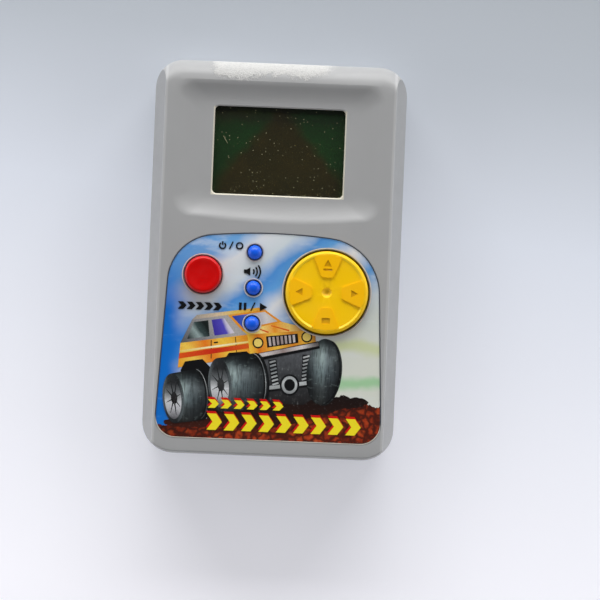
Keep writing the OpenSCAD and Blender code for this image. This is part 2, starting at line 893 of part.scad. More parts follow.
module direction_pad() {
    edge_steps = 6;
    edge = 1;
    color("#f2b705")
        at(pad_pos)
            difference() {
                union() {
                    rotate_extrude($fn = 96)
                        polygon(concat(
                            [[0, pad_pivot_z - 0.4], [3, pad_pivot_z - 0.4],
                                [3, pad_top_z - 1.6], [pad_r - 1.3, pad_top_z - 1.6],
                                [pad_r - 1.3, pad_bottom_z], [pad_r + 1, pad_bottom_z],
                                [pad_r + 1, pad_bottom_z + 1], [pad_r, pad_bottom_z + 1.4]],
                            [for (i = [0 : edge_steps])
                                let (a = 90 * i / edge_steps)
                                [pad_r - edge + edge * cos(a),
                                    pad_top_z + 0.3 - edge + edge * sin(a)]],
                            [[pad_r - edge - 0.6, pad_top_z], [0, pad_top_z]]
                        ));
                    for (a = [0 : 90 : 270])
                        rotate(a) translate([0, 0, pad_top_z - 0.8]) pad_arm();
                    for (a = [0 : 90 : 270])
                        rotate(a) translate([pad_dome_r, 0, pad_bottom_z])
                            cylinder(r = 1.8, h = pad_top_z - pad_bottom_z - 1);
                }
                translate([0, 0, pad_pivot_z]) sphere(r = pad_ball_r + 0.06);
                translate([0, 0, pad_top_z + 1.3]) sphere(r = 2.1);
                pad_marks();
            }
}

module pad_pivot() {
    color("#d9d9d4") at(pad_pos, pad_pivot_z) sphere(r = pad_ball_r);
}

// ---------------------------------------------------------------- rubber mats

function pill_top(travel) = board_z + travel + pill_t + 0.05;

// Hollow rubber dome standing on the mat, with room below for its contact pill
module rubber_dome(r_foot, r_top, travel) {
    ceiling_z = max(mat_top_z, pill_top(travel) + eps);
    rotate_extrude()
        polygon([[0, ceiling_z], [r_top - 0.4, ceiling_z], [r_foot - 0.5, mat_top_z - eps],
            [r_foot, mat_top_z - eps], [r_top, dome_top_z - 0.6], [r_top, dome_top_z],
            [0, dome_top_z]]);
}

module dome_holes(places, r) {
    for (p = places) at(p, 0) cylinder(r = r, h = mat_top_z + 1);
}

pad_dome_places = [for (a = [0 : 90 : 270])
    pad_pos + pad_dome_r * [cos(a), sin(a)]];

module pad_mat() {
    color("#c9cbc6")
        union() {
            difference() {
                at(pad_pos, board_z) cylinder(r = 14.2, h = mat_base, $fn = 96);
                dome_holes(pad_dome_places, 2.7);
            }
            for (p = pad_dome_places) at(p) rubber_dome(3.2, 2, pad_travel);
            at(pad_pos, mat_top_z - eps)
                cylinder(r = 1.8, h = pad_pivot_z - pad_ball_r - mat_top_z - 0.03);
        }
}

module turbo_mat() {
    color("#c9cbc6")
        union() {
            difference() {
                at(turbo_pos, board_z) cylinder(r = 7.4, h = mat_base);
                dome_holes([turbo_pos], 3.3);
            }
            at(turbo_pos) rubber_dome(3.8, 2.4, turbo_travel);
        }
}

module keys_mat() {
    color("#c9cbc6")
        union() {
            difference() {
                translate([keys_x - 4.2, pause_pos.y - 4.2, board_z])
                    cube([8.4, power_pos.y - pause_pos.y + 8.4, mat_base]);
                dome_holes(key_places, 2.1);
            }
            for (p = key_places) at(p) rubber_dome(2.6, 1.4, key_travel);
        }
}

// Carbon pill that closes the contacts under a dome
module pill(place, r, travel) {
    color("#202022") at(place, pill_top(travel) - pill_t) cylinder(r = r, h = pill_t);
}

module pad_pills() {
    for (p = pad_dome_places) pill(p, 1.4, pad_travel);
}

module turbo_pill() {
    pill(turbo_pos, 1.9, turbo_travel);
}

module power_pill() {
    pill(power_pos, 0.9, key_travel);
}

module sound_pill() {
    pill(sound_pos, 0.9, key_travel);
}

module pause_pill() {
    pill(pause_pos, 0.9, key_travel);
}

// ---------------------------------------------------------------- what is drawn

front_shell();
rear_shell();
battery_door();
faceplate();
screen_window();
lcd_front_polariser();
lcd_front_glass();
lcd_rear_glass();
lcd_rear_polariser();
backdrop_card();
lcd_holder();
zebra_strip();
main_board();
chip_blob();
board_capacitor();
board_resistors();
board_crystal();
board_screws();
piezo_plate();
piezo_ceramic();
piezo_wire_red();
piezo_wire_black();
battery_wire_red();
battery_wire_black();
contact_plus();
contact_minus();
contact_minus_spring();
contact_bridge();
contact_bridge_spring();
cell_upper();
cell_lower();
turbo_button();
power_key();
sound_key();
pause_key();
direction_pad();
pad_pivot();
pad_mat();
turbo_mat();
keys_mat();
pad_pills();
turbo_pill();
power_pill();
sound_pill();
pause_pill();
case_screws();
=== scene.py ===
"""Looks of a handheld LCD game: studio, case plastic, printed faceplate, screen, buttons and insides."""

import math
import random

import bmesh
import bpy
from mathutils import Matrix, Vector
from mathutils.geometry import tessellate_polygon


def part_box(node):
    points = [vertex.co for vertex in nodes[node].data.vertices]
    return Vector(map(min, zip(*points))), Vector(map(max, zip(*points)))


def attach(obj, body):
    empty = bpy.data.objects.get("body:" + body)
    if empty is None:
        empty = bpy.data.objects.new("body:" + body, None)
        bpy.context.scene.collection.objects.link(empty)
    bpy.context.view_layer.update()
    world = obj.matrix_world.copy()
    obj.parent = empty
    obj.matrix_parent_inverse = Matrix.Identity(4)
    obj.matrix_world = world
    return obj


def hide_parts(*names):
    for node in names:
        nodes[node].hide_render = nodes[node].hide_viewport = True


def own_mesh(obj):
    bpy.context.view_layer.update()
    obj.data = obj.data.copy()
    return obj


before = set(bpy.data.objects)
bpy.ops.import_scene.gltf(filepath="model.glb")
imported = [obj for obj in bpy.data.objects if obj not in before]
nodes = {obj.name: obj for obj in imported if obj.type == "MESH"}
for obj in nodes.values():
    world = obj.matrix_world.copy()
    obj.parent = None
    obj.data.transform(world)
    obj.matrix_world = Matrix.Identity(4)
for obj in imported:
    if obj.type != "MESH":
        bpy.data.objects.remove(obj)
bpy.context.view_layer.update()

MM = 0.001


def rgb(red, green, blue, alpha=1.0):
    """A display colour from 0 to 255 as the linear colour that a shader takes."""
    linear = [((c / 255 + 0.055) / 1.055) ** 2.4 if c > 10 else c / 255 / 12.92 for c in (red, green, blue)]
    return (*linear, alpha)


def span_mm(node):
    """Lowest and highest corner of a CAD node, in millimetres."""
    low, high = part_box(node)
    return low / MM, high / MM


def centre_mm(node):
    low, high = span_mm(node)
    return (low + high) / 2


# ---------------------------------------------------------------- places

PLATE_LOW, PLATE_HIGH = span_mm("faceplate")
SCREEN_LOW, SCREEN_HIGH = span_mm("lcd_front_polariser")
CASE_HIGH = span_mm("front_shell")[1]
PAD = centre_mm("direction_pad")
TURBO = centre_mm("turbo_button")
OPENING_Y = centre_mm("lcd_front_polariser").y
OPENING_HALF_X, OPENING_HALF_Y = 20.7, 13.9
PAD_ARM_END = 12.0              # radius where the pad's raised arms stop
FACE_CORNERS = [v.co for v in nodes["front_shell"].data.vertices if v.co.z / MM > CASE_HIGH.z - 0.01]
CREASE_X = max(abs(corner.x) for corner in FACE_CORNERS) / MM   # where the face meets the side bands
POWER, SOUND, PAUSE = (centre_mm(n) for n in ("power_key", "sound_key", "pause_key"))


# ---------------------------------------------------------------- materials

class Look:
    """A node material round one Principled shader, with patterns laid out in the object's own millimetres."""

    def __init__(self, name, colour, rough=0.5, **shader):
        self.mat = bpy.data.materials.new(name)
        self.mat.use_nodes = True
        self.tree = self.mat.node_tree
        self.shader = self.tree.nodes["Principled BSDF"]
        self.shader.inputs["Base Color"].default_value = colour
        self.shader.inputs["Roughness"].default_value = rough
        for key, value in shader.items():
            self.shader.inputs[key.replace("_", " ").title().replace("Ior", "IOR")].default_value = value
        coords = self.tree.nodes.new("ShaderNodeTexCoord").outputs["Object"]
        self.mm = self.vector("SCALE", coords, scale=1 / MM)

    def node(self, kind, inputs=(), **settings):
        made = self.tree.nodes.new("ShaderNode" + kind)
        for key, value in settings.items():
            setattr(made, key, value)
        for key, value in dict(inputs).items():
            if isinstance(value, bpy.types.NodeSocket):
                self.tree.links.new(value, made.inputs[key])
            elif value is not None:
                made.inputs[key].default_value = value
        return made

    def vector(self, operation, a, b=None, scale=None):
        inputs = {0: a, 1: b, "Scale": scale}
        made = self.node("VectorMath", inputs, operation=operation)
        return made.outputs["Value" if operation in ("DOT_PRODUCT", "LENGTH") else "Vector"]

    def math(self, operation, a, b=None, c=None, clamp=False):
        return self.node("Math", {0: a, 1: b, 2: c}, operation=operation, use_clamp=clamp).outputs[0]

    def times(self, first, *others):
        for other in others:
            first = self.math("MULTIPLY", first, other)
        return first

    def plus(self, a, b, clamp=False):
        return self.math("ADD", a, b, clamp=clamp)

    def minus(self, a, b):
        return self.math("SUBTRACT", a, b)

    def off(self, a, b):
        """Distance of a from b."""
        return self.math("ABSOLUTE", self.minus(a, b))

    def xyz(self, place=None):
        return self.node("SeparateXYZ", {0: place or self.mm}).outputs

    def swirled(self, scale, reach, detail=3.0):
        """The place in millimetres, pushed about by noise."""
        swirl = self.node("TexNoise", {"Vector": self.mm, "Scale": scale, "Detail": detail})
        offset = self.vector("SUBTRACT", swirl.outputs["Color"], (0.5, 0.5, 0.5))
        return self.vector("ADD", self.mm, self.vector("SCALE", offset, scale=reach))

    def along(self, start, end, warp=0.0, warp_size=3.0):
        """0 at start and 1 at end, measured along the line between two points in millimetres."""
        start, end = Vector((*start, 0)[:3]), Vector((*end, 0)[:3])
        way = end - start
        place = self.swirled(1 / warp_size, warp * 2) if warp else self.mm
        share = self.vector("DOT_PRODUCT", self.vector("SUBTRACT", place, start), way)
        return self.math("DIVIDE", share, way.length_squared)

    def noise(self, size, detail=2.0, rough=0.5, stretch=(1, 1, 1), turn=0.0):
        """Fractal noise from 0 to 1 with features about size millimetres across."""
        place = self.node("Mapping", {"Vector": self.mm, "Rotation": (0, 0, -turn), "Scale": stretch})
        made = self.node("TexNoise", {"Vector": place.outputs[0], "Scale": 1 / size, "Detail": detail,
                                      "Roughness": rough})
        return made.outputs["Fac"]

    def window(self, fac, low, high, to_low=0.0, to_high=1.0):
        """Maps low..high smoothly to to_low..to_high and holds the ends."""
        made = self.node("MapRange", {0: fac, 1: low, 2: high, 3: to_low, 4: to_high},
                         interpolation_type="SMOOTHSTEP")
        return made.outputs[0]

    def stripes(self, pitch, axis=0, share=0.5):
        """1 and 0 in turn along one axis, pitch millimetres apart."""
        phase = self.math("FRACT", self.math("DIVIDE", self.xyz()[axis], pitch))
        return self.window(self.off(phase, 0.5), share / 2 + 0.04, share / 2 - 0.04)

    def window_line(self, fac, low, high):
        """Maps low..high evenly to 0..1."""
        return self.node("MapRange", {0: fac, 1: low, 2: high}).outputs[0]

    def ramp(self, fac, stops, interpolation="LINEAR"):
        made = self.node("ValToRGB", {0: fac})
        bar = made.color_ramp
        bar.interpolation = interpolation
        while len(bar.elements) < len(stops):
            bar.elements.new(1.0)
        for element, (place, colour) in zip(bar.elements, stops):
            element.position = place
            element.color = colour
        return made.outputs[0]

    def mix(self, fac, a, b, blend="MIX"):
        made = self.node("Mix", data_type="RGBA", blend_type=blend)
        for key, value in ((0, fac), (6, a), (7, b)):
            if isinstance(value, bpy.types.NodeSocket):
                self.tree.links.new(value, made.inputs[key])
            else:
                made.inputs[key].default_value = value
        return made.outputs[2]

    def feed(self, socket, value):
        self.tree.links.new(value, self.shader.inputs[socket])
        return self

    def bump(self, *layers):
        """Relief from (height, depth in millimetres) layers, the finest last."""
        normal = None
        for height, depth in layers:
            made = self.node("Bump", {"Height": height, "Distance": depth * MM, "Strength": 1.0})
            if normal:
                self.tree.links.new(normal, made.inputs["Normal"])
            normal = made.outputs[0]
        return self.feed("Normal", normal)

    def film_skin(self):
        """The printed film's faint waviness."""
        return self.bump((self.noise(0.9, 3), 0.002))


def tones(*stops):
    """Ramp stops from (place, red, green, blue) with display colours."""
    return [(place, rgb(*colour)) for place, *colour in stops]


def shade(colour, factor):
    return (*[min(1.0, c * factor) for c in colour[:3]], 1.0)


def moulded(name, colour, rough=0.42, grain=0.3, depth=0.006, mottle=0.06, **shader):
    """Moulded plastic: an even colour with slight flow marks, rub marks and a fine skin."""
    look = Look(name, colour, rough, **shader)
    flow = look.noise(14, 4, 0.6)
    tint = look.mix(flow, shade(colour, 1 - mottle), shade(colour, 1 + mottle))
    look.feed("Base Color", tint)
    rub = look.noise(5, 6, 0.7)
    look.feed("Roughness", look.window(rub, 0.3, 0.75, rough - 0.07, rough + 0.1))
    look.bump((look.noise(9, 2), depth * 3), (look.noise(grain, 3, 0.7), depth))
    return look


def metal(name, colour, rough=0.3, streak=(1, 1, 1), depth=0.004):
    """Rolled or plated metal with fine streaks and dull patches."""
    look = Look(name, colour, rough, metallic=1.0)
    lines = look.noise(0.35, 4, 0.7, stretch=streak)
    look.feed("Base Color", look.mix(lines, shade(colour, 0.82), shade(colour, 1.08)))
    look.feed("Roughness", look.window(look.noise(2.5, 4), 0.3, 0.7, rough - 0.08, rough + 0.14))
    look.bump((lines, depth))
    return look


def use(node, look):
    """Gives a CAD node one material."""
    mesh = nodes[node].data
    mesh.materials.clear()
    mesh.materials.append(look.mat)
    mesh.polygons.foreach_set("material_index", [0] * len(mesh.polygons))


# ---------------------------------------------------------------- studio

# name, place, size, power in watts, and the one kind of light it leaves out
LAMPS = (("key", (0.0, 2.5, 0.84), (3.6, 1.0), 118.0, "visible_glossy"),
         ("sheen", (0.0, 1.7, 1.5), (3.0, 0.8), 46.0, "visible_diffuse"),
         ("low_fill", (0.0, -1.1, 0.6), (1.6, 0.5), 2.6, "visible_glossy"),
         ("left_fill", (-0.9, 0.1, 0.4), (0.9, 0.5), 2.2, None),
         ("right_fill", (0.9, 0.1, 0.4), (0.9, 0.5), 2.2, None))
CAMERA_ROLL = math.radians(2.35)
CAMERA_DISTANCE = 1.9
VIEW_WIDTH = 0.1922
CAMERA_ASIDE = (8.1, -12.6)     # millimetres to the right of the case's middle, and up
FLOOR_HALF = 3.0
FLOOR_DROP = 0.00005


def softbox(name, place, size, power, leaves_out):
    """A rectangular lamp that faces the game."""
    data = bpy.data.lights.new(name, "AREA")
    data.shape = "RECTANGLE"
    data.size, data.size_y = size
    data.energy = power
    lamp = bpy.data.objects.new(name, data)
    lamp.location = place
    bpy.context.scene.collection.objects.link(lamp)
    lamp.rotation_euler = (Vector() - lamp.location).to_track_quat("-Z", "Y").to_euler()
    if leaves_out:
        setattr(lamp, leaves_out, False)


def build_camera():
    """Looks straight down on the face through a long lens, a little to one side and turned slightly."""
    data = bpy.data.cameras.new("camera")
    data.sensor_width = 36
    data.lens = data.sensor_width * CAMERA_DISTANCE / VIEW_WIDTH
    data.clip_end = 20
    camera = bpy.data.objects.new("camera", data)
    right = Vector((math.cos(CAMERA_ROLL), math.sin(CAMERA_ROLL), 0))
    up = Vector((-math.sin(CAMERA_ROLL), math.cos(CAMERA_ROLL), 0))
    aside = right * CAMERA_ASIDE[0] * MM + up * CAMERA_ASIDE[1] * MM
    camera.location = aside + Vector((0, 0, CAMERA_DISTANCE))
    camera.rotation_euler = (0, 0, CAMERA_ROLL)
    bpy.context.scene.collection.objects.link(camera)
    bpy.context.scene.camera = camera


def studio_room():
    """Pale walls that fade to a dim ceiling, so that the face shows its own colours and not a glare."""
    world = bpy.data.worlds.new("studio")
    world.use_nodes = True
    tree = world.node_tree
    coords = tree.nodes.new("ShaderNodeTexCoord")
    height = tree.nodes.new("ShaderNodeSeparateXYZ")
    fade = tree.nodes.new("ShaderNodeMapRange")
    room = tree.nodes["Background"]
    room.inputs["Color"].default_value = (0.94, 0.96, 1.0, 1)
    for socket, value in zip(fade.inputs[1:5], (0.25, 0.97, 0.5, 0.04)):
        socket.default_value = value
    tree.links.new(coords.outputs["Generated"], height.inputs[0])
    tree.links.new(height.outputs["Z"], fade.inputs[0])
    tree.links.new(fade.outputs[0], room.inputs["Strength"])
    return world


def build_studio():
    scene = bpy.context.scene
    scene.view_settings.view_transform = "Standard"
    scene.world = studio_room()
    for lamp in LAMPS:
        softbox(*lamp)

    mesh = bpy.data.meshes.new("floor")
    corners = [(x * FLOOR_HALF, y * FLOOR_HALF, 0) for x, y in ((-1, -1), (1, -1), (1, 1), (-1, 1))]
    mesh.from_pydata(corners, [], [(0, 1, 2, 3)])
    floor = bpy.data.objects.new("floor", mesh)
    floor.location.z = -FLOOR_DROP
    scene.collection.objects.link(floor)
    # Painted light: the floor glows a little like a light table, its tone is painted darker towards the far
    # end, and far off it is glow alone.
    look = Look("glowing_floor", rgb(200, 200, 206), 0.95, specular_ior_level=0.1, emission_strength=0.36)
    sweep = look.along((-12, -110), (12, 100))
    painted_sweep = look.ramp(sweep, tones((0, 231, 230, 236), (0.3, 218, 219, 226), (0.6, 199, 203, 212),
                                   (0.85, 168, 173, 180), (1, 158, 163, 169)))
    far = look.window(look.vector("LENGTH", look.mm), 700, 2000)
    look.feed("Base Color", look.mix(far, painted_sweep, rgb(0, 0, 0)))
    look.feed("Emission Color", look.mix(far, painted_sweep, (1.31, 1.33, 1.39, 1)))
    look.bump((look.noise(1.2, 4), 0.01))
    mesh.materials.append(look.mat)


# ---------------------------------------------------------------- case

SCUFF_DEPTH = 6.0               # how far the rubbed patch reaches down the nose
SCUFF_ENDS = (-24, 20)
SCUFF_REACH = ((0.0, 0), (0.06, 0.75), (0.24, 1.0), (0.45, 0.62), (0.7, 0.78), (0.88, 0.5), (1.0, 0))


def scuff(look, crumbs):
    """1 on the chalky patch over the top edge, fading to 0 round it."""
    x, y, z = look.xyz()
    stops = [(place, (share,) * 4) for place, share in SCUFF_REACH]
    reach = look.ramp(look.window_line(x, *SCUFF_ENDS), stops)
    fray = look.times(look.minus(look.noise(2.0, 7, 0.8), 0.5), 1.5)
    depth = look.math("DIVIDE", look.minus(CASE_HIGH.y - 0.3, y), SCUFF_DEPTH)
    rubbed = look.window(look.minus(look.plus(reach, fray), depth), -0.05, 0.22)
    worn_x = look.plus(x, look.times(fray, 9.0))
    ends = look.times(look.window(worn_x, -22.5, -21), look.window(worn_x, 18, 13))
    return look.times(rubbed, ends, look.window(z, 13.5, 15.5), look.window(crumbs, 0.3, 0.55, 0.35, 1.0))


def rim_highlight(look):
    """1 on the lower and side walls of the screen opening, where a pale painted highlight goes."""
    x, y, _ = look.xyz()
    rim_x = look.minus(look.math("ABSOLUTE", x), OPENING_HALF_X)
    rim_y = look.minus(look.off(y, OPENING_Y), OPENING_HALF_Y)
    rim = look.window(look.math("MAXIMUM", rim_x, rim_y), 0.46, 0.4)
    upper = OPENING_Y + OPENING_HALF_Y
    return look.times(rim, look.window(y, upper + 0.1, upper - 0.6))


def crease_highlight(look, grain):
    """1 along the line where the face meets each side band, broken up by the grain: the place of a painted
    highlight.
    """
    side = look.math("ABSOLUTE", look.xyz()[0])
    line = look.times(look.window(side, CREASE_X - 0.95, CREASE_X - 0.4),
                      look.window(side, CREASE_X + 0.3, CREASE_X + 0.05))
    return look.times(line, look.window(grain, 0.2, 0.5, 0.7, 1.0))


def case_look(name, tone, wear_and_highlights):
    """Pale grey ABS with a fine skin. The scuffed one has a chalky top edge, a pale painted highlight on the
    screen opening's walls and a painted highlight along the creases.
    """
    look = Look(name, tone, 0.45)
    tint = look.mix(look.noise(22, 4, 0.6), shade(tone, 0.965), shade(tone, 1.03))
    rough = look.window(look.noise(6, 6, 0.7), 0.3, 0.75, 0.4, 0.54)
    grain = look.noise(0.22, 3, 0.7)
    relief = [(look.noise(11, 2), 0.012), (grain, 0.005)]
    # A real chalky scuff on the top edge, plus painted highlights on the screen opening's rim and along the
    # creases.
    if wear_and_highlights:
        crumbs = look.noise(0.45, 5, 0.8, (0.6, 1, 1))
        chalk = scuff(look, crumbs)
        tint = look.mix(chalk, tint, rgb(196, 195, 192))
        # Painted highlight: a pale cream line on the screen opening's lower and side walls.
        tint = look.mix(rim_highlight(look), tint, rgb(208, 203, 186))
        # Painted highlight: a paler line along the crease between the face and each side band.
        tint = look.mix(crease_highlight(look, grain), tint, shade(tone, 1.24))
        rough = look.plus(rough, look.times(chalk, 0.4), clamp=True)
        relief.append((look.times(chalk, crumbs), 0.12))
    look.bump(*relief)
    look.feed("Base Color", tint).feed("Roughness", rough)
    return look


def smooth_edges(node, width, angle=30):
    """Rounds a CAD node's crisp edges slightly, and evens out its shading."""
    obj = nodes[node]
    obj.data.polygons.foreach_set("use_smooth", [True] * len(obj.data.polygons))
    if "custom_normal" in obj.data.attributes:
        obj.data.attributes.remove(obj.data.attributes["custom_normal"])
    weld = obj.modifiers.new("weld", "WELD")
    weld.merge_threshold = 1e-7
    bevel = obj.modifiers.new("bevel", "BEVEL")
    bevel.width = width * MM
    bevel.segments = 2
    bevel.limit_method = "ANGLE"
    bevel.angle_limit = math.radians(angle)
    bevel.harden_normals = False
    normals = obj.modifiers.new("normals", "WEIGHTED_NORMAL")
    normals.keep_sharp = False
    normals.weight = 60


def dress_case():
    grey = rgb(163, 163, 163)
    use("front_shell", case_look("case_front", grey, True))
    back = case_look("case_back", shade(grey, 0.97), False)
    for node in ("rear_shell", "battery_door"):
        use(node, back)
    for node, width in (("front_shell", 0.2), ("rear_shell", 0.15), ("battery_door", 0.1)):
        smooth_edges(node, width)


def pad_look():
    """Yellow plastic: raised arms a shade deeper, a painted highlight paler along their edges, and painted
    shade darker in the sunk symbols.
    """
    deep, base, wear_and_highlights = rgb(255, 192, 0), rgb(255, 201, 0), rgb(255, 222, 50)
    look = moulded("yellow_plastic", base, 0.4, 0.4, 0.002, 0.03, specular_ior_level=0.35)
    crown = span_mm("direction_pad")[1].z
    height = look.xyz()[2]
    out = look.vector("MULTIPLY", look.vector("SUBTRACT", look.mm, (*PAD[:2], 0)), (1, 1, 0))
    out = look.vector("LENGTH", out)
    inner = look.window(out, PAD_ARM_END + 0.3, PAD_ARM_END)
    top = look.times(inner, look.window(height, crown - 0.12, crown - 0.04))
    # Painted highlight: the arms' side walls and the rim's inner slope are made paler.
    edge = look.times(inner, look.window(look.off(height, crown - 0.2), 0.17, 0.08))
    flow = look.mix(look.noise(14, 4, 0.6), shade(base, 0.97), shade(base, 1.03))
    tint = look.mix(top, look.mix(look.times(edge, 0.7), flow, wear_and_highlights), deep)
    # Painted shade: the sunk symbols are made darker.
    apart = look.xyz(look.vector("ABSOLUTE", look.vector("SUBTRACT", look.mm, PAD)))
    off_line = look.math("MINIMUM", apart[0], apart[1])
    symbol_shade = look.times(look.window(off_line, 1.7, 1.5), look.window(out, 6.2, 6.6),
                        look.window(out, 11.2, 10.8), look.window(height, crown - 0.1, crown - 0.16))
    look.feed("Base Color", look.mix(symbol_shade, tint, shade(deep, 0.72)))
    return look


def dress_buttons():
    glossy = {"coat_weight": 0.12, "coat_roughness": 0.15, "specular_ior_level": 0.4}
    use("turbo_button", moulded("red_plastic", rgb(206, 0, 0), 0.34, 0.5, 0.002, **glossy))
    blue = moulded("blue_plastic", rgb(12, 92, 230), 0.34, 0.5, 0.002, **glossy)
    for node in ("power_key", "sound_key", "pause_key"):
        use(node, blue)
        smooth_edges(node, 0.06)
    use("direction_pad", pad_look())
    smooth_edges("turbo_button", 0.12)
    smooth_edges("direction_pad", 0.2, 24)


# ---------------------------------------------------------------- printed label

def hull(points):
    """Outline of the smallest convex shape round the points."""
    points = sorted(points)

    def chain(way):
        side = []
        for p in way:
            while len(side) > 1 and ((side[-1][0] - side[-2][0]) * (p[1] - side[-2][1])
                                     <= (side[-1][1] - side[-2][1]) * (p[0] - side[-2][0])):
                side.pop()
            side.append(p)
        return side[:-1]
    return chain(points) + chain(points[::-1])


def curve_through(points, closed=False, steps=6):
    """Smooth curve through the points."""
    count = len(points)
    pick = (lambda i: points[i % count]) if closed else (lambda i: points[max(0, min(count - 1, i))])
    curve = []
    for i in range(count if closed else count - 1):
        a, b, c, d = (Vector(pick(i + k)) for k in (-1, 0, 1, 2))
        for step in range(steps):
            t = step / steps
            curve.append(tuple(0.5 * (2 * b + (c - a) * t + (2 * a - 5 * b + 4 * c - d) * t ** 2
                                      + (3 * b - 3 * c + d - a) * t ** 3)))
    return curve if closed else curve + [tuple(points[-1])]


def stroke(points, start_width, end_width=None):
    """Outline of a line that tapers from one width to the other."""
    end_width = start_width if end_width is None else end_width
    line = [Vector(p) for p in points]
    left, right = [], []
    for i, p in enumerate(line):
        way = (line[min(i + 1, len(line) - 1)] - line[max(i - 1, 0)]).normalized()
        half = (start_width + (end_width - start_width) * i / (len(line) - 1)) / 2
        side = Vector((-way.y, way.x)) * half
        left.append(tuple(p + side))
        right.append(tuple(p - side))
    return left + right[::-1]


def oval(centre, half_x, half_y, lean=0.0, start=0, end=360, count=48):
    """Points of an oval, or of a part of it, leaning clockwise by lean degrees."""
    lean = -math.radians(lean)
    full = end - start == 360
    made = []
    for i in range(count):
        a = math.radians(start + (end - start) * i / (count if full else count - 1))
        x, y = half_x * math.cos(a), half_y * math.sin(a)
        made.append((centre[0] + x * math.cos(lean) - y * math.sin(lean),
                     centre[1] + x * math.sin(lean) + y * math.cos(lean)))
    return made


def box(left, low, right, high):
    return [(left, low), (right, low), (right, high), (left, high)]


def moved(loop, dx, dy, scale=1.0):
    return [(x * scale + dx, y * scale + dy) for x, y in loop]


def shrunk(loop, inset):
    """An outline that runs anticlockwise, moved in by inset millimetres."""
    made = []
    for before, here, after in zip(loop[-1:] + loop[:-1], loop, loop[1:] + loop[:1]):
        way = (Vector(after) - Vector(before)).normalized()
        made.append((here[0] - way.y * inset, here[1] + way.x * inset))
    return made


def label_hole(spot):
    """Radius of the label's hole round a control, in millimetres."""
    return min((v.co.xy / MM - spot.xy).length for v in nodes["faceplate"].data.vertices)


def ragged(points, rough, seed, steps=5):
    """A closed outline with small uneven steps in it."""
    draw = random.Random(seed)
    return [(x + draw.uniform(-rough, rough), y + draw.uniform(-rough, rough))
            for x, y in curve_through(points, True, steps)]


def slab(shape, loops, low, high, unit=1.0):
    """Adds a flat slab to a bmesh, from an outline and its holes, and returns its faces."""
    rings = [[Vector((*p, 0)) for p in loop] for loop in loops]
    flat = [p for ring in rings for p in ring]
    floor, roof = ([shape.verts.new((p + Vector((0, 0, z))) * unit) for p in flat] for z in (low, high))
    faces = []
    for corners in tessellate_polygon(rings):
        a, b, c = (flat[i] for i in corners)
        up = (b - a).cross(c - a).z > 0
        faces.append([roof[i] for i in (corners if up else corners[::-1])])
        faces.append([floor[i] for i in (corners[::-1] if up else corners)])
    start = 0
    for ring in rings:
        area = sum(a.x * b.y - b.x * a.y for a, b in zip(ring, ring[1:] + ring[:1]))
        outward = (area > 0) == (ring is rings[0])
        for i in range(len(ring)):
            a, b = start + i, start + (i + 1) % len(ring)
            side = [floor[a], floor[b], roof[b], roof[a]]
            faces.append(side if outward else side[::-1])
        start += len(ring)
    return [shape.faces.new(face) for face in faces]


INK_STEP = 0.006                # height from one layer of ink to the next
INK_T = 0.004
FILM_TOP = PLATE_HIGH.z
MARK_LEVEL = 26                 # over every part of the drawing
RING_LEVEL = 28


class Print:
    """Flat inks printed on the label. A higher level covers a lower one."""

    def __init__(self, name):
        self.name = name
        self.bm = bmesh.new()
        self.looks = []

    def add(self, look, level, *loops, hole=None):
        if look not in self.looks:
            self.looks.append(look)
        low = FILM_TOP + level * INK_STEP
        for loop in loops:
            for face in slab(self.bm, [loop, hole] if hole else [loop], low, low + INK_T, MM):
                face.material_index = self.looks.index(look)

    def lay(self):
        """Trims the inks to the label's outline and holes, and fixes them to the case."""
        mesh = bpy.data.meshes.new(self.name)
        self.bm.to_mesh(mesh)
        self.bm.free()
        for look in self.looks:
            mesh.materials.append(look.mat)
        piece = bpy.data.objects.new(self.name, mesh)
        bpy.context.scene.collection.objects.link(piece)
        trim = piece.modifiers.new("trim", "BOOLEAN")
        trim.operation = "INTERSECT"
        trim.solver = "EXACT"
        trim.use_self = True
        trim.object = LABEL_CUTTER
        bpy.context.view_layer.update()
        shown = piece.evaluated_get(bpy.context.evaluated_depsgraph_get())
        piece.data = bpy.data.meshes.new_from_object(shown)
        piece.modifiers.clear()
        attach(piece, "case")
        return piece


def label_cutter():
    """A tall copy of the label, for trimming the inks."""
    mesh = nodes["faceplate"].data.copy()
    shape = bmesh.new()
    shape.from_mesh(mesh)
    bmesh.ops.remove_doubles(shape, verts=shape.verts, dist=1e-7)
    middle = (PLATE_LOW.z + PLATE_HIGH.z) / 2 * MM
    for vert in shape.verts:
        vert.co.z += (1 if vert.co.z > middle else -1) * MM
    shape.to_mesh(mesh)
    shape.free()
    cutter = bpy.data.objects.new("cutter", mesh)
    bpy.context.scene.collection.objects.link(cutter)
    return cutter


def ink(name, start, end, stops, warp=0.8, streak=0.0, size=0.5, stretch=(1, 1, 1), turn=0.0, rough=0.3):
    """Airbrushed colour: tones blend from start to end, with soft brush streaks."""
    stops = tones(*stops)
    look = Look("printed_" + name, stops[0][1], rough)
    tone = look.ramp(look.along(start, end, warp, 2.5), stops)
    if streak:
        brush = look.noise(size, 4, 0.6, stretch, turn)
        tone = look.mix(look.window(brush, 0.4, 0.75, 0, streak), tone, rgb(20, 20, 22))
        tone = look.mix(look.window(brush, 0.42, 0.2, 0, streak * 0.6), tone, rgb(225, 228, 226))
    look.feed("Base Color", tone)
    look.film_skin()
    return look


def flat_ink(name, colour, rough=0.3):
    """One printed colour with a slight screen-print mottle."""
    look = Look(name, colour, rough)
    look.feed("Base Color", look.mix(look.noise(0.35, 4, 0.7), shade(colour, 0.88), shade(colour, 1.1)))
    look.film_skin()
    return look


# bands across the sky: place in millimetres, then the colour
SKY_BANDS = ((-24, 84, 150, 220), (-13, 112, 170, 224), (-8, 222, 225, 228), (-2, 208, 217, 222),
             (3, 78, 144, 214), (7, 98, 162, 224), (12, 222, 223, 226), (20, 88, 152, 216),
             (27, 196, 206, 212), (34, 206, 212, 204), (46, 210, 214, 200))


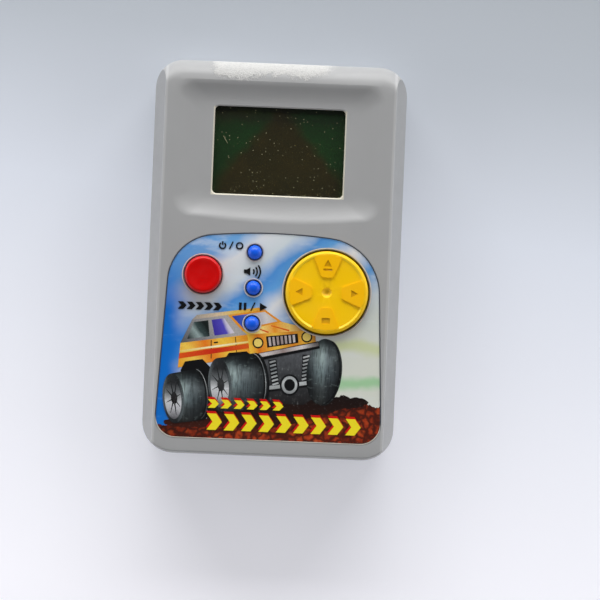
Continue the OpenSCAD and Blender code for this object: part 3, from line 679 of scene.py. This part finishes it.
def sky_look():
    """Blue sky crossed by slanting bands of white cloud, with a pale green haze low on the right."""
    look = Look("printed_sky", rgb(140, 185, 225), 0.3)
    place = look.swirled(1 / 9, 5.0)
    across = look.vector("DOT_PRODUCT", place, (0.6, -0.8, 0))
    low, high = SKY_BANDS[0][0], SKY_BANDS[-1][0]
    sky = look.ramp(look.window_line(across, low, high),
                    tones(*[((at - low) / (high - low), *colour) for at, *colour in SKY_BANDS]))
    wisps = look.noise(5, 5, 0.6, (0.35, 1, 1), math.radians(37))
    sky = look.mix(look.window(wisps, 0.52, 0.72, 0, 0.45), sky, rgb(232, 234, 236))
    x, y, _ = look.xyz(place)
    deep = look.times(look.window(x, -23, -33), look.window(y, 8, -18))
    sky = look.mix(deep, sky, rgb(12, 108, 200))
    sky = look.mix(look.window(wisps, 0.56, 0.8, 0, 0.3), sky, rgb(150, 196, 232))
    haze = look.times(look.window(x, 17, 24), look.window(y, -18, -26))
    sky = look.mix(look.times(haze, 0.7), sky, rgb(214, 216, 206))
    for height, tint, strength in ((-26.6, (196, 206, 130), 0.6), (-37.6, (140, 200, 140), 0.75)):
        band = look.times(look.window(look.off(y, height), 3.4, 0.3), look.window(x, 17, 23))
        sky = look.mix(look.times(band, strength), sky, rgb(*tint))
    look.feed("Base Color", sky)
    look.film_skin()
    return look


def ground_look():
    """Red-brown churned earth with dark cracks and orange flecks."""
    look = Look("printed_ground", rgb(150, 52, 26), 0.3)
    push = look.node("TexNoise", {"Vector": look.mm, "Scale": 0.4}).outputs["Color"]
    place = look.vector("ADD", look.mm, look.vector("SCALE", push, scale=3.0))
    clods = look.node("TexVoronoi", {"Vector": place, "Scale": 0.36}, feature="DISTANCE_TO_EDGE")
    crack = look.window(clods.outputs["Distance"], 0.02, 0.3)
    earth = look.ramp(look.noise(2.4, 5, 0.65), tones((0.3, 112, 34, 16), (0.5, 164, 56, 26),
                                                      (0.66, 192, 78, 32), (0.8, 206, 110, 60)))
    earth = look.mix(crack, rgb(74, 26, 16), earth)
    x, y, _ = look.xyz()
    depth = look.window(look.minus(y, look.times(x, 0.17)), -54, -49, 0.0, 0.55)
    look.feed("Base Color", look.mix(depth, earth, rgb(34, 16, 12)))
    look.film_skin()
    return look


def tread_look(name, left, right, top, bottom):
    """Tyre tread lit from above: dark at its ends, teal-grey on its crown, crossed by lug lines."""
    look = Look(name, rgb(50, 54, 56), 0.3)
    across = look.ramp(look.along(left, right, 0.5, 2), tones(
        (0.0, 40, 44, 46), (0.16, 96, 106, 108), (0.42, 168, 186, 184), (0.56, 122, 134, 136),
        (0.8, 72, 78, 80), (1.0, 34, 36, 38)))
    down = look.ramp(look.along(top, bottom, 1.4, 3), tones(
        (0.0, 60, 60, 62), (0.1, 120, 122, 124), (0.27, 255, 255, 255), (0.5, 190, 194, 198),
        (0.72, 112, 110, 112), (1.0, 60, 52, 50)))
    tone = look.mix(1.0, across, down, "MULTIPLY")
    lugs = look.noise(0.55, 3, 0.6, (1, 0.12, 1), math.radians(-6))
    tone = look.mix(look.window(lugs, 0.46, 0.66, 0, 0.55), tone, rgb(16, 17, 18))
    sheen = look.noise(1.1, 4, 0.6, (0.5, 1, 1), math.radians(10))
    tone = look.mix(look.window(sheen, 0.55, 0.8, 0, 0.4), tone, rgb(150, 166, 164))
    look.feed("Base Color", tone)
    look.film_skin()
    return look


def print_ground():
    sheet = Print("print_ground")
    crest = [(-36.8, -53.4), (-33, -53.6), (-30, -52.8), (-25, -53.3), (-20, -52.8), (-12, -51.8), (-2, -50),
             (8, -47.6), (15, -45.4), (21, -43.2), (24, -42.4), (28, -43.6), (33, -45.0), (36.8, -45.4)]
    draw = random.Random(4)
    rim = [(x, y + draw.uniform(-0.35, 0.35)) for x, y in curve_through(crest, steps=10)]
    sheet.add(ground_look(), 0, rim + [(36.8, -58.5), (-36.8, -58.5)])
    shadow = ink("shadow", (0, -42), (0, -54), [(0, 24, 14, 12), (0.6, 40, 20, 14), (1, 66, 26, 16)],
                 1.5, 0.25, 0.7)
    near = [(-19.2, -44.0), (-16.0, -44.0), (-10.0, -44.4), (-1.0, -44.4), (7.0, -44.0), (13.2, -43.6),
            (18.0, -43.4), (22.0, -42.4), (23.5, -41.7), (26.0, -42.6), (29.0, -42.4), (31.5, -43.8),
            (29.0, -45.4), (23.0, -46.3), (18.5, -48.0), (13.5, -49.2), (8.0, -51.6), (-1.0, -53.5),
            (-10.0, -53.4), (-17.0, -53.2), (-19.5, -50.5)]
    sheet.add(shadow, 1, ragged(near, 0.25, 8))
    rear = [(-33, -52.6), (-30, -51), (-24, -50.5), (-19, -51), (-19.5, -53.4), (-26, -54), (-31, -53.8)]
    sheet.add(shadow, 2, ragged(rear, 0.2, 9))
    sheet.lay()


def panel(low_left, low_right, high_right, high_left):
    """Four-cornered body panel: a function from (u, v), each 0 to 1, to a place on the label."""
    def place(u, v):
        low = Vector(low_left).lerp(Vector(low_right), u)
        high = Vector(high_left).lerp(Vector(high_right), u)
        return tuple(low.lerp(high, v))
    return place


def patch(place, u_low=0.0, u_high=1.0, v_low=0.0, v_high=1.0):
    return [place(u_low, v_low), place(u_high, v_low), place(u_high, v_high), place(u_low, v_high)]


def add_underside(sheet, black, dark, steel):
    """Axle, hub casing and two coil springs."""
    sheet.add(dark, 2, [(-6, -29), (13.2, -25), (14.5, -43), (11, -45.4), (-6, -45.4)])
    sheet.add(black, 3, stroke([(-2, -41.0), (14.5, -38.2)], 2.2))
    sheet.add(steel, 4, stroke([(-2, -40.8), (14.5, -38.0)], 1.2))
    casing = (6.4, -39.3)
    sheet.add(black, 5, oval(casing, 3.1, 3.4))
    sheet.add(steel, 6, oval(casing, 2.5, 2.8), hole=oval(casing, 1.7, 1.9))
    coils = 7
    for top, foot in (((0.6, -31.5), (2.0, -39.6)), ((11.4, -29.5), (11.2, -37.6))):
        sheet.add(black, 7, stroke([top, foot], 2.6, 2.2))
        (top_x, top_y), (foot_x, foot_y) = top, foot
        strut = panel((foot_x - 1, foot_y), (foot_x + 1, foot_y), (top_x + 1, top_y), (top_x - 1, top_y))
        for turn in range(coils):
            sheet.add(steel, 8, stroke([strut(0, turn / coils + 0.02), strut(1, turn / coils + 0.1)], 0.55))


def add_right_tyre(sheet, black):
    tread = tread_look("printed_tread_right", (11.8, -35), (23, -35), (18, -23.5), (17, -46))
    wall = oval((17.2, -34.8), 5.0, 10.4, 4)
    sheet.add(tread, 9, hull(moved(wall, -0.6, 0.2) + moved(wall, 0.6, -0.2)))
    sheet.add(black, 10, stroke(oval((17.3, -34.9), 4.8, 10.2, 4, -80, 76, 24), 0.45, 0.3))


def add_cabin(sheet, black, orange, red, cream, side):
    """The side, its bands and doors, and the windows and roof over it."""
    grey = ink("hardtop", (-28, -26), (-20, -17), [
        (0, 96, 98, 102), (0.5, 142, 142, 144), (1, 176, 172, 170)], 0.8, 0.25)
    roof = ink("roof", (-25, -18), (-1, -16), [
        (0, 170, 160, 150), (0.3, 222, 200, 170), (0.55, 236, 196, 90), (0.8, 238, 178, 60),
        (1, 214, 120, 40)], 0.7, 0.2)
    tinted = ink("tinted", (-26, -26), (-19, -20.5), [
        (0, 28, 38, 38), (0.35, 150, 168, 166), (0.5, 60, 76, 76), (0.75, 18, 24, 24),
        (1, 40, 50, 50)], 0.5, 0.2)
    lilac = ink("window_lilac", (-18, -23), (-11.5, -20), [
        (0, 64, 52, 160), (0.45, 84, 76, 188), (0.6, 206, 200, 220), (1, 232, 226, 224)], 0.4, 0.1)
    cabin = panel(side(0.0, 1.0), side(1.0, 1.0), (-14.0, -17.8), (-25.2, -19.7))
    sheet.add(orange, 11, patch(side))
    sheet.add(grey, 11, patch(cabin))
    sheet.add(roof, 13, [cabin(0, 0.98), cabin(1, 0.98), (-2.2, -15.8), (-4.4, -15.2), (-23.8, -18.3)])
    sheet.add(tinted, 12, patch(cabin, 0.08, 0.44, 0.14, 0.86))
    sheet.add(lilac, 12, patch(cabin, 0.52, 0.84, 0.14, 0.86))
    sheet.add(black, 12, *[stroke([side(u, 0.16), side(u, 0.96)], 0.25) for u in (0.46, 0.82)])
    sheet.add(black, 12, patch(side, 0.5, 0.56, 0.8, 0.86))
    sheet.add(red, 13, patch(side, 0.0, 1.0, 0.36, 0.58))
    sheet.add(cream, 13, patch(side, 0.0, 1.0, 0.62, 0.7))


def add_front(sheet, black, orange, red, cream):
    """Windscreen, bonnet, grille, headlamps and bumper."""
    blue = ink("windscreen", (-12, -19), (0.9, -18), [
        (0, 40, 66, 170), (0.3, 70, 100, 196), (0.5, 170, 172, 186), (0.8, 214, 208, 206),
        (1, 190, 186, 184)], 0.6, 0.1)
    bonnet = ink("bonnet", (-9, -23.5), (9, -19.5), [
        (0, 240, 190, 60), (0.3, 252, 228, 140), (0.55, 236, 150, 40), (0.8, 244, 206, 110),
        (1, 206, 150, 90)], 0.7, 0.15)
    nose = ink("nose", (-7, -28), (14, -22.5), [
        (0, 246, 204, 70), (0.15, 226, 120, 28), (0.4, 240, 190, 70), (0.65, 214, 130, 40),
        (0.85, 240, 186, 64), (1, 190, 120, 50)], 0.7, 0.15)
    chrome = ink("chrome", (-8, -33), (14, -25), [
        (0, 120, 112, 112), (0.3, 214, 206, 204), (0.55, 150, 132, 128), (0.8, 222, 216, 214),
        (1, 110, 104, 104)], 1.0, 0.25)
    windscreen = panel((-9.2, -22.8), (3.2, -19.4), (-2.2, -15.9), (-14.2, -17.8))
    top = panel((-7.6, -23.9), (13.8, -21.5), (3.2, -19.4), (-9.2, -22.8))
    front = panel((-6.4, -30.6), (14.2, -25.9), (13.8, -21.5), (-7.6, -23.9))
    sheet.add(orange, 12, patch(windscreen))
    sheet.add(blue, 13, patch(windscreen, 0.07, 0.93, 0.1, 0.88))
    sheet.add(bonnet, 14, patch(top))
    sheet.add(red, 15, *[stroke([top(u, 0.12), top(u, 0.9)], 0.5, 0.3) for u in (0.34, 0.66)])
    sheet.add(nose, 14, patch(front))
    sheet.add(black, 15, patch(front, 0.27, 0.74, 0.26, 0.84))
    bars = [0.3 + 0.06 * i for i in range(7)]
    sheet.add(chrome, 16, *[patch(front, u, u + 0.035, 0.32, 0.78) for u in bars])
    for u in (0.14, 0.87):
        sheet.add(black, 16, oval(front(u, 0.56), 1.75, 1.75))
        sheet.add(cream, 17, oval(front(u, 0.56), 1.3, 1.3))
    sheet.add(black, 17, stroke([front(-0.04, -0.12), front(1.05, -0.12)], 2.3))
    sheet.add(chrome, 18, stroke([front(-0.03, -0.06), front(1.04, -0.06)], 1.2))


def add_near_tyre(sheet, name, hub, far, half_x, half_y, black, dark, steel):
    """A tyre from where its hub is to where its tread ends, with its spokes."""
    lean, spokes = -7, 8
    wall, back = oval(hub, half_x, half_y, lean), oval(far, half_x * 0.95, half_y * 1.03, lean)
    left, right = hub[0] - half_x, far[0] + half_x
    tread = tread_look("printed_tread_" + name, (left, hub[1]), (right, far[1]), (0, hub[1] + half_y),
                       (0, hub[1] - half_y))
    sheet.add(tread, 19, hull(wall + back))
    for inset, look, width in ((0.35, black, 0.5), (1.1, steel, 0.22), (1.6, black, 0.4)):
        rim = oval((far[0] - inset, far[1]), half_x * 0.95, half_y * 1.0, lean, -80, 84, 24)
        sheet.add(look, 20, stroke(rim, width, width * 0.6))
    tyre = ink("wall_" + name, (left, hub[1]), (hub[0] + half_x, hub[1]), [
        (0, 96, 102, 104), (0.2, 46, 50, 52), (0.7, 30, 32, 34), (1, 92, 100, 102)], 0.5, 0.3)
    sheet.add(tyre, 21, wall)
    disc = ink("hub_" + name, (hub[0], hub[1] + 5), (hub[0], hub[1] - 6), [
        (0, 40, 42, 44), (0.3, 110, 114, 116), (0.55, 206, 208, 210), (0.75, 190, 190, 194),
        (1, 96, 96, 100)], 0.8, 0.25, 0.5)
    sheet.add(disc, 22, oval((hub[0] - 0.1, hub[1] - 0.3), half_x * 0.78, half_y * 0.8, lean))
    for i in range(spokes):
        turn = 360 // spokes * i
        tip = oval(hub, half_x * 0.7, half_y * 0.7, lean, turn + 12, turn + 13, 2)[0]
        sheet.add(black, 23, stroke([(hub[0] + 0.2, hub[1]), tip], 0.55, 0.12))
    sheet.add(dark, 24, oval((hub[0] + 0.25, hub[1] + 0.1), half_x * 0.3, half_y * 0.24, lean))


def print_truck():
    """A plain boxy wagon on three tall tyres, seen from its front corner."""
    sheet = Print("print_truck")
    black = flat_ink("printed_black", rgb(14, 14, 16))
    dark = ink("dark", (0, -28), (0, -46), [(0, 92, 94, 98), (0.5, 58, 60, 62), (1, 30, 27, 27)],
               1.5, 0.35, 0.8, (1, 0.5, 1))
    steel = ink("steel", (0, -29), (0, -45), [
        (0, 196, 198, 198), (0.35, 120, 126, 128), (0.6, 190, 194, 194), (1, 70, 72, 74)], 1.2, 0.2)
    orange = ink("orange", (-28, -35), (-9, -24), [
        (0, 238, 166, 44), (0.2, 246, 206, 84), (0.45, 234, 124, 30), (0.7, 246, 200, 70),
        (1, 234, 150, 40)], 1.1, 0.12)
    red = ink("band", (-28, -32), (-7, -27), [(0, 226, 84, 24), (0.5, 206, 40, 20), (1, 224, 92, 28)],
              0.6, 0.12)
    cream = ink("cream", (-28, -31), (-6, -25), [
        (0, 236, 206, 104), (0.5, 252, 244, 200), (1, 240, 212, 110)], 0.7, 0.12)
    side = panel((-29.2, -35.2), (-6.4, -30.6), (-7.6, -23.9), (-28.7, -27.4))

    add_underside(sheet, black, dark, steel)
    add_right_tyre(sheet, black)
    add_cabin(sheet, black, orange, red, cream, side)
    add_front(sheet, black, orange, red, cream)
    rear_arch = [(-28.3, -36), (-27, -33.2), (-21.5, -32.2), (-18.4, -35.2), (-18.6, -40), (-27, -39)]
    front_arch = [(-15.2, -33), (-13.2, -29.9), (-7.6, -29.2), (-3.4, -32.4), (-8, -34)]
    sheet.add(black, 14, rear_arch, front_arch)
    add_near_tyre(sheet, "rear", (-30.2, -45.0), (-21.6, -43.4), 3.4, 7.9, black, dark, steel)
    add_near_tyre(sheet, "middle", (-15.6, -40.2), (-3.6, -38.4), 3.7, 8.6, black, dark, steel)
    sheet.lay()


def chevron(x, y, wide, tall, thick):
    """Arrow point that opens to the left."""
    return [(x, y + tall / 2), (x + thick, y + tall / 2), (x + thick + wide, y), (x + thick, y - tall / 2),
            (x, y - tall / 2), (x + wide, y)]


def print_title():
    """Rows of speed chevrons in the place of a title, each with a red edge thrown up and to the left."""
    sheet = Print("print_title")
    yellow = flat_ink("printed_title_yellow", rgb(246, 226, 40))
    red = flat_ink("printed_title_red", rgb(206, 20, 16))
    rows = [(-19.2 + 4.1 * i, -46.2, 1.3, 2.7, 2.2) for i in range(6)]
    rows += [(-19.4 + 5.5 * i, -51.9, 1.9, 5.2, 3.0) for i in range(9)]
    for row in rows:
        arrow = chevron(*row)
        sheet.add(red, MARK_LEVEL, moved(arrow, -0.25, 0.75))
        sheet.add(yellow, MARK_LEVEL + 1, arrow)
    sheet.lay()


POWER_MARK = (-16.6, 4.1)
SOUND_MARK = (-7.9, -3.9)
PAUSE_MARK = (-10.6, -15.0)


def power_mark(x, y):
    """A broken ring with an upright bar, and a slash."""
    return [stroke(oval((x, y - 0.1), 0.95, 0.95, 0, 125, 415, 24), 0.5),
            stroke([(x, y + 0.1), (x, y + 1.25)], 0.5),
            stroke([(x + 2.2, y - 1.2), (x + 3.3, y + 1.3)], 0.42)]


def sound_mark(x, y):
    """A loudspeaker with three waves."""
    horn = [(x - 1.6, y - 0.6), (x - 0.7, y - 0.6), (x + 0.4, y - 1.35), (x + 0.4, y + 1.35),
            (x - 0.7, y + 0.6), (x - 1.6, y + 0.6)]
    return [horn] + [stroke(oval((x + 0.4, y), r, r, 0, -40, 40, 12), 0.5) for r in (1.2, 2.2, 3.2)]


def pause_mark(x, y):
    """Two bars, a slash and a play triangle."""
    bars = [box(x + left, y - 1.2, x + right, y + 1.2) for left, right in ((0, 0.8), (1.5, 2.3))]
    slash = stroke([(x + 3.8, y - 1.3), (x + 5.0, y + 1.4)], 0.42)
    return bars + [slash, [(x + 6.6, y - 1.3), (x + 8.9, y), (x + 6.6, y + 1.3)]]


def print_marks():
    """Black function marks beside the controls, a pale painted highlight ring round each control, and a
    painted shadow line round the label that turns into a painted highlight along its bottom edge.
    """
    sheet = Print("print_marks")
    black = flat_ink("printed_mark", rgb(16, 16, 18))
    sheet.add(black, MARK_LEVEL, *power_mark(*POWER_MARK))
    off_ring = (POWER_MARK[0] + 5.4, POWER_MARK[1])
    sheet.add(black, MARK_LEVEL, oval(off_ring, 1.2, 1.2), hole=oval(off_ring, 0.72, 0.72))
    sheet.add(black, MARK_LEVEL, *sound_mark(*SOUND_MARK))
    sheet.add(black, MARK_LEVEL, *pause_mark(*PAUSE_MARK))
    for i in range(5):
        sheet.add(black, MARK_LEVEL, chevron(-30.0 + 2.8 * i, -15.4, 1.1, 2.4, 1.7))
    # Painted highlight: a pale ring on the rim round each control's hole.
    pale = flat_ink("painted_ring_highlight", rgb(214, 208, 206))
    for spot in (PAD, TURBO, POWER, SOUND, PAUSE):
        rim = label_hole(spot)
        sheet.add(pale, RING_LEVEL, oval(spot[:2], rim + 0.32, rim + 0.32, count=72),
                  hole=oval(spot[:2], rim - 0.1, rim - 0.1, count=72))
    outline = hull([tuple(v.co.xy / MM) for v in nodes["faceplate"].data.vertices])
    # Painted shadow along the label's top and sides, turning into a painted highlight along its bottom edge.
    edge = Look("painted_edge_shadow_and_highlight", rgb(70, 74, 82), 0.35)
    fleck = edge.noise(0.4, 3)
    edge_shade = edge.mix(fleck, rgb(44, 50, 62), rgb(84, 92, 104))
    bare = edge.mix(fleck, rgb(196, 190, 176), rgb(226, 220, 206))
    edge.feed("Base Color", edge.mix(edge.window(edge.xyz()[1], -50, -53), edge_shade, bare))
    sheet.add(edge, RING_LEVEL, shrunk(outline, -0.1), hole=shrunk(outline, 0.24))
    sheet.lay()


def dress_label():
    use("faceplate", sky_look())
    print_ground()
    print_truck()
    print_title()
    print_marks()


# ---------------------------------------------------------------- screen

def screen_print(name, colour_gain=1.0):
    """The track picture behind the glass: a brown road that widens downwards between dark green verges."""
    look = Look(name, rgb(30, 46, 30), 0.4)
    x, y, _ = look.xyz(look.swirled(0.22, 4.0, 4.0))
    down = look.window(y, SCREEN_HIGH.y - 2, SCREEN_LOW.y + 3)
    half = look.math("MULTIPLY_ADD", down, 17.5, 3.0)
    out = look.minus(look.off(x, 0.5), half)
    road = look.window(out, 3.0, -3.0)
    blotch = look.noise(7, 4, 0.6)
    green = look.mix(blotch, rgb(6, 38, 8), rgb(16, 60, 18))
    brown = look.mix(blotch, rgb(26, 24, 2), rgb(48, 38, 4))
    picture = look.mix(road, green, brown)
    wash = look.times(look.window(y, SCREEN_HIGH.y - 9, SCREEN_HIGH.y - 3), look.window(x, 2, -12))
    picture = look.mix(look.times(wash, 0.6), picture, rgb(44, 34, 10))
    band = look.window(y, SCREEN_HIGH.y - 4.0, SCREEN_HIGH.y - 2.6)
    picture = look.mix(look.times(band, 0.8), picture, rgb(8, 9, 8))
    look.feed("Base Color", look.mix(1.0, picture, (colour_gain,) * 3 + (1,), "MULTIPLY"))
    look.bump((look.noise(1.5, 3), 0.002))
    return look


def clear_look(name, tint, alpha, dusty=False):
    """Clear sheet seen as a faint tint, with dust specks and one fine scratch if dusty."""
    look = Look(name, tint, 0.12, alpha=alpha)
    tone = look.mix(look.noise(6, 3), shade(tint, 0.85), shade(tint, 1.15))
    if not dusty:
        look.feed("Base Color", tone)
        return look
    specks = look.node("TexVoronoi", {"Vector": look.mm, "Scale": 1 / 1.3})
    size = look.xyz(specks.outputs["Color"])[0]
    dense = look.window(look.xyz()[1], SCREEN_LOW.y + 7, SCREEN_LOW.y, 0.0, 0.35)
    chosen = look.math("GREATER_THAN", look.plus(size, dense), 0.66)
    dust = look.times(chosen, look.window(specks.outputs["Distance"], 0.2, 0.07))
    scratch = look.along((-18.0, 39.2), (-16.2, 36.2))
    off = look.along((-17.1, 37.7), (-14.1, 39.5), 0.06, 0.8)
    line = look.times(look.window(look.math("ABSOLUTE", off), 0.025, 0.008),
                     look.window(look.off(scratch, 0.5), 0.5, 0.3))
    film = look.window(look.noise(4, 5, 0.65, (0.4, 1, 1), 0.3), 0.5, 0.8, 0, 0.08)
    marks = look.math("MAXIMUM", look.times(dust, 0.65), look.times(line, 0.8))
    look.feed("Base Color", look.mix(marks, tone, rgb(196, 190, 150)))
    look.feed("Alpha", look.plus(look.plus(marks, film), alpha, clamp=True))
    look.feed("Roughness", look.window(marks, 0, 1, 0.1, 0.7))
    return look


def dress_screen():
    use("screen_window", clear_look("clear_window", rgb(60, 62, 44), 0.05, dusty=True))
    use("lcd_front_polariser", screen_print("screen_picture"))
    glass = clear_look("lcd_glass", rgb(150, 176, 160), 0.35)
    for node in ("lcd_front_glass", "lcd_rear_glass"):
        use(node, glass)
    use("lcd_rear_polariser", clear_look("rear_polariser", rgb(60, 66, 60), 0.7))
    use("backdrop_card", screen_print("backdrop_picture", 2.2))
    use("lcd_holder", moulded("holder_plastic", rgb(226, 226, 220), 0.5))
    rubber = Look("contact_rubber", rgb(60, 60, 64), 0.7)
    stripe = rubber.stripes(0.5)
    rubber.feed("Base Color", rubber.mix(stripe, rgb(40, 40, 44), rgb(196, 128, 132)))
    rubber.bump((rubber.noise(0.4, 3), 0.01))
    use("zebra_strip", rubber)


# ---------------------------------------------------------------- insides

def board_look():
    """Green lacquered laminate with copper tracks showing through and woven grain."""
    look = Look("board_laminate", rgb(26, 92, 50), 0.35)
    cells = look.node("TexVoronoi", {"Vector": look.mm, "Scale": 1 / 4.5}, feature="F1", distance="CHEBYCHEV")
    rings = look.math("FRACT", look.times(cells.outputs["Distance"], 5.0))
    track = look.window(look.off(rings, 0.5), 0.22, 0.12)
    weave = look.plus(look.stripes(0.6), look.stripes(0.6, 1))
    base = look.mix(look.times(weave, 0.12), rgb(20, 82, 44), rgb(52, 120, 72))
    look.feed("Base Color", look.mix(look.times(track, 0.6), base, rgb(74, 132, 62)))
    look.bump((track, 0.02), (weave, 0.004))
    return look


def banded(name, colour, bands, axis, pitch, start, rough=0.4):
    """Colour bands along an axis, each (place, width, colour), repeated every pitch millimetres."""
    look = Look(name, colour, rough)
    turns = look.math("DIVIDE", look.minus(look.xyz()[axis], start), pitch)
    place = look.times(look.math("FRACT", turns), pitch)
    tone = look.mix(look.noise(2, 3), shade(colour, 0.94), shade(colour, 1.06))
    for spot, width, ring in bands:
        near = look.off(place, spot)
        tone = look.mix(look.window(near, width / 2 + 0.03, width / 2 - 0.03), tone, ring)
    look.feed("Base Color", tone)
    look.bump((look.noise(1.2, 3), 0.006))
    return look


def cell_look(name, side):
    """Ochre cell jacket with a cream band at its button end, a bare steel button and a bare base."""
    jacket = (190, 138, 48)
    look = Look(name, rgb(*jacket), 0.35)
    low, high = span_mm(name)
    ends = (high.x, low.x) if side > 0 else (low.x, high.x)
    along = look.window_line(look.xyz()[0], *ends)
    tone = look.ramp(along, tones((0.0, 198, 198, 196), (0.032, 226, 218, 196), (0.18, 104, 74, 30),
                                  (0.195, *jacket), (0.975, 196, 196, 194)), "CONSTANT")
    look.feed("Base Color", look.mix(look.times(look.noise(5, 4), 0.2), tone, rgb(90, 90, 92)))
    bare = look.math("MAXIMUM", look.window(along, 0.03, 0.026), look.window(along, 0.972, 0.976))
    look.feed("Metallic", bare)
    look.bump((look.noise(3, 3), 0.01))
    return look


def dress_inside():
    use("main_board", board_look())
    use("chip_blob", moulded("potting", rgb(22, 22, 25), 0.25, 1.2, 0.02))
    stripe = [(3.2, 1.2, rgb(196, 198, 202))]
    use("board_capacitor", banded("capacitor_sleeve", rgb(30, 44, 84), stripe, 0, 60, 15.2))
    use("board_resistors", banded("resistor_body", rgb(206, 168, 112), [
        (1.0, 0.45, rgb(120, 60, 24)), (2.0, 0.45, rgb(20, 20, 20)), (3.0, 0.45, rgb(190, 40, 30)),
        (4.4, 0.4, rgb(196, 160, 60))], 1, 80, 19.2))
    steel = metal("screw_steel", rgb(178, 180, 184), 0.28)
    use("board_screws", steel)
    use("case_screws", steel)
    use("board_crystal", metal("crystal_can", rgb(196, 198, 200), 0.22, (1, 0.2, 1)))
    use("piezo_plate", metal("piezo_brass", rgb(206, 168, 84), 0.3))
    use("piezo_ceramic", moulded("piezo_white", rgb(224, 222, 212), 0.5, 0.4))
    nickel = metal("contact_nickel", rgb(200, 198, 188), 0.25, (0.3, 1, 1))
    for node in ("plus", "minus", "minus_spring", "bridge", "bridge_spring"):
        use("contact_" + node, nickel)
    for colour, tone in (("red", rgb(190, 30, 26)), ("black", rgb(26, 26, 28))):
        sheath = moulded("wire_" + colour, tone, 0.45, 0.5)
        for node in ("piezo_wire_", "battery_wire_"):
            use(node + colour, sheath)
    use("cell_upper", cell_look("cell_upper", 1))
    use("cell_lower", cell_look("cell_lower", -1))
    use("pad_pivot", moulded("pivot_plastic", rgb(222, 222, 214), 0.35))
    carbon = moulded("carbon", rgb(34, 34, 36), 0.75, 0.3, 0.01)
    for node in ("pad_pills", "turbo_pill", "power_pill", "sound_pill", "pause_pill"):
        use(node, carbon)


# ---------------------------------------------------------------- rubber mats

BOARD_TOP = span_mm("turbo_mat")[0].z
DOME_TOP = span_mm("turbo_mat")[1].z
SHEET_TOP = BOARD_TOP + 0.8     # flat part of the mats
KEY_SKIRT = 4.2
WEB_HALF_X, WEB_OVERLAP = 3, 1.2
PAD_DOME_REACH = 8.6            # from the pad's middle to each dome
PAD_SLACK = 0.14                # room over the pad's domes, so that it can rock


def rubber(name, shape, look, mat):
    """A piece of a silicone mat from a bmesh in millimetres, in the place of the mat's CAD node."""
    bmesh.ops.recalc_face_normals(shape, faces=shape.faces)
    mesh = bpy.data.meshes.new(name)
    shape.to_mesh(mesh)
    shape.free()
    mesh.transform(Matrix.Scale(MM, 4))
    mesh.materials.append(look.mat)
    piece = bpy.data.objects.new(name, mesh)
    bpy.context.scene.collection.objects.link(piece)
    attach(piece, "case")
    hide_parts(mat)
    return piece


def lathe(centre, profile, count=40):
    """A closed ring or disc: the profile of (radius, height) turned about an upright axis."""
    shape = bmesh.new()
    rows = []
    for radius, height in profile:
        if radius == 0:
            rows.append([shape.verts.new((centre[0], centre[1], height))])
        else:
            ring = oval(centre[:2], radius, radius, count=count)
            rows.append([shape.verts.new((*p, height)) for p in ring])
    for a, b in zip(rows, rows[1:] + rows[:1]):
        for i in range(count):
            corners = [row[j % len(row)] for row, j in ((a, i), (a, i + 1), (b, i + 1), (b, i))]
            corners = list(dict.fromkeys(corners))
            if len(corners) > 2:
                shape.faces.new(corners)
    return shape


def dome(foot, crown, hollow, room, skirt=None, slack=0.0):
    """Profile of a hollow rubber dome, with a flat skirt round its foot if skirt is its radius."""
    top, ceiling = DOME_TOP - slack, BOARD_TOP + room
    outside = [(0, top), (crown - 0.25, top), (crown, top - 0.2), (crown, top - 0.6), (foot, SHEET_TOP)]
    edge = [(skirt, SHEET_TOP), (skirt, BOARD_TOP)] if skirt else [(foot, BOARD_TOP)]
    inside = [(hollow, BOARD_TOP), (hollow, SHEET_TOP - 0.1), (crown - 0.4, ceiling), (0, ceiling)]
    return outside + edge + inside


def flat_piece(outline, holes, low, high):
    shape = bmesh.new()
    slab(shape, [outline, *holes], low, high)
    return shape


def press(piece, spot):
    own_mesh(piece)


def make_mats():
    """Domes under the buttons, on sheets that stay put."""
    look = moulded("silicone_grey", rgb(186, 188, 184), 0.55, 0.8, 0.008)
    turbo = rubber("turbo_dome", lathe(TURBO, dome(3.8, 2.4, 3.3, 1.5, 7.4)), look, "turbo_mat")
    press(turbo, TURBO)

    for name, spot in (("power", POWER), ("sound", SOUND), ("pause", PAUSE)):
        key = rubber(name + "_dome", lathe(spot, dome(2.6, 1.4, 2.1, 1.3, KEY_SKIRT)), look, "keys_mat")
        press(key, spot)
    for name, upper, lower in (("upper", POWER, SOUND), ("lower", SOUND, PAUSE)):
        low, high = lower.y + KEY_SKIRT - WEB_OVERLAP, upper.y - KEY_SKIRT + WEB_OVERLAP
        left, right = upper.x - WEB_HALF_X, upper.x + WEB_HALF_X
        web = flat_piece(box(left, low, right, high), [], BOARD_TOP + 0.05, SHEET_TOP - 0.25)
        rubber("keys_web_" + name, web, look, "keys_mat")

    ways = {"right": (1, 0), "up": (0, 1), "left": (-1, 0), "down": (0, -1)}
    spots = {name: (PAD.x + x * PAD_DOME_REACH, PAD.y + y * PAD_DOME_REACH) for name, (x, y) in ways.items()}
    holes = [oval(spot, 3.25, 3.25, count=40) for spot in spots.values()]
    disc = flat_piece(oval(PAD[:2], 14.2, 14.2, count=72), holes, BOARD_TOP, SHEET_TOP)
    rubber("pad_sheet", disc, look, "pad_mat")
    top = span_mm("pad_mat")[1].z
    post = lathe(PAD, [(0, top), (1.8, top), (1.8, SHEET_TOP), (0, SHEET_TOP)])
    rubber("pad_post", post, look, "pad_mat")
    for name, spot in spots.items():
        shape = lathe(spot, dome(3.2, 2.0, 2.7, 1.25, slack=PAD_SLACK))
        piece = rubber("pad_dome_" + name, shape, look, "pad_mat")
        press(piece, spot)


build_camera()
build_studio()
dress_case()
dress_buttons()
dress_screen()
dress_inside()
make_mats()

LABEL_CUTTER = label_cutter()
dress_label()
bpy.data.objects.remove(LABEL_CUTTER)
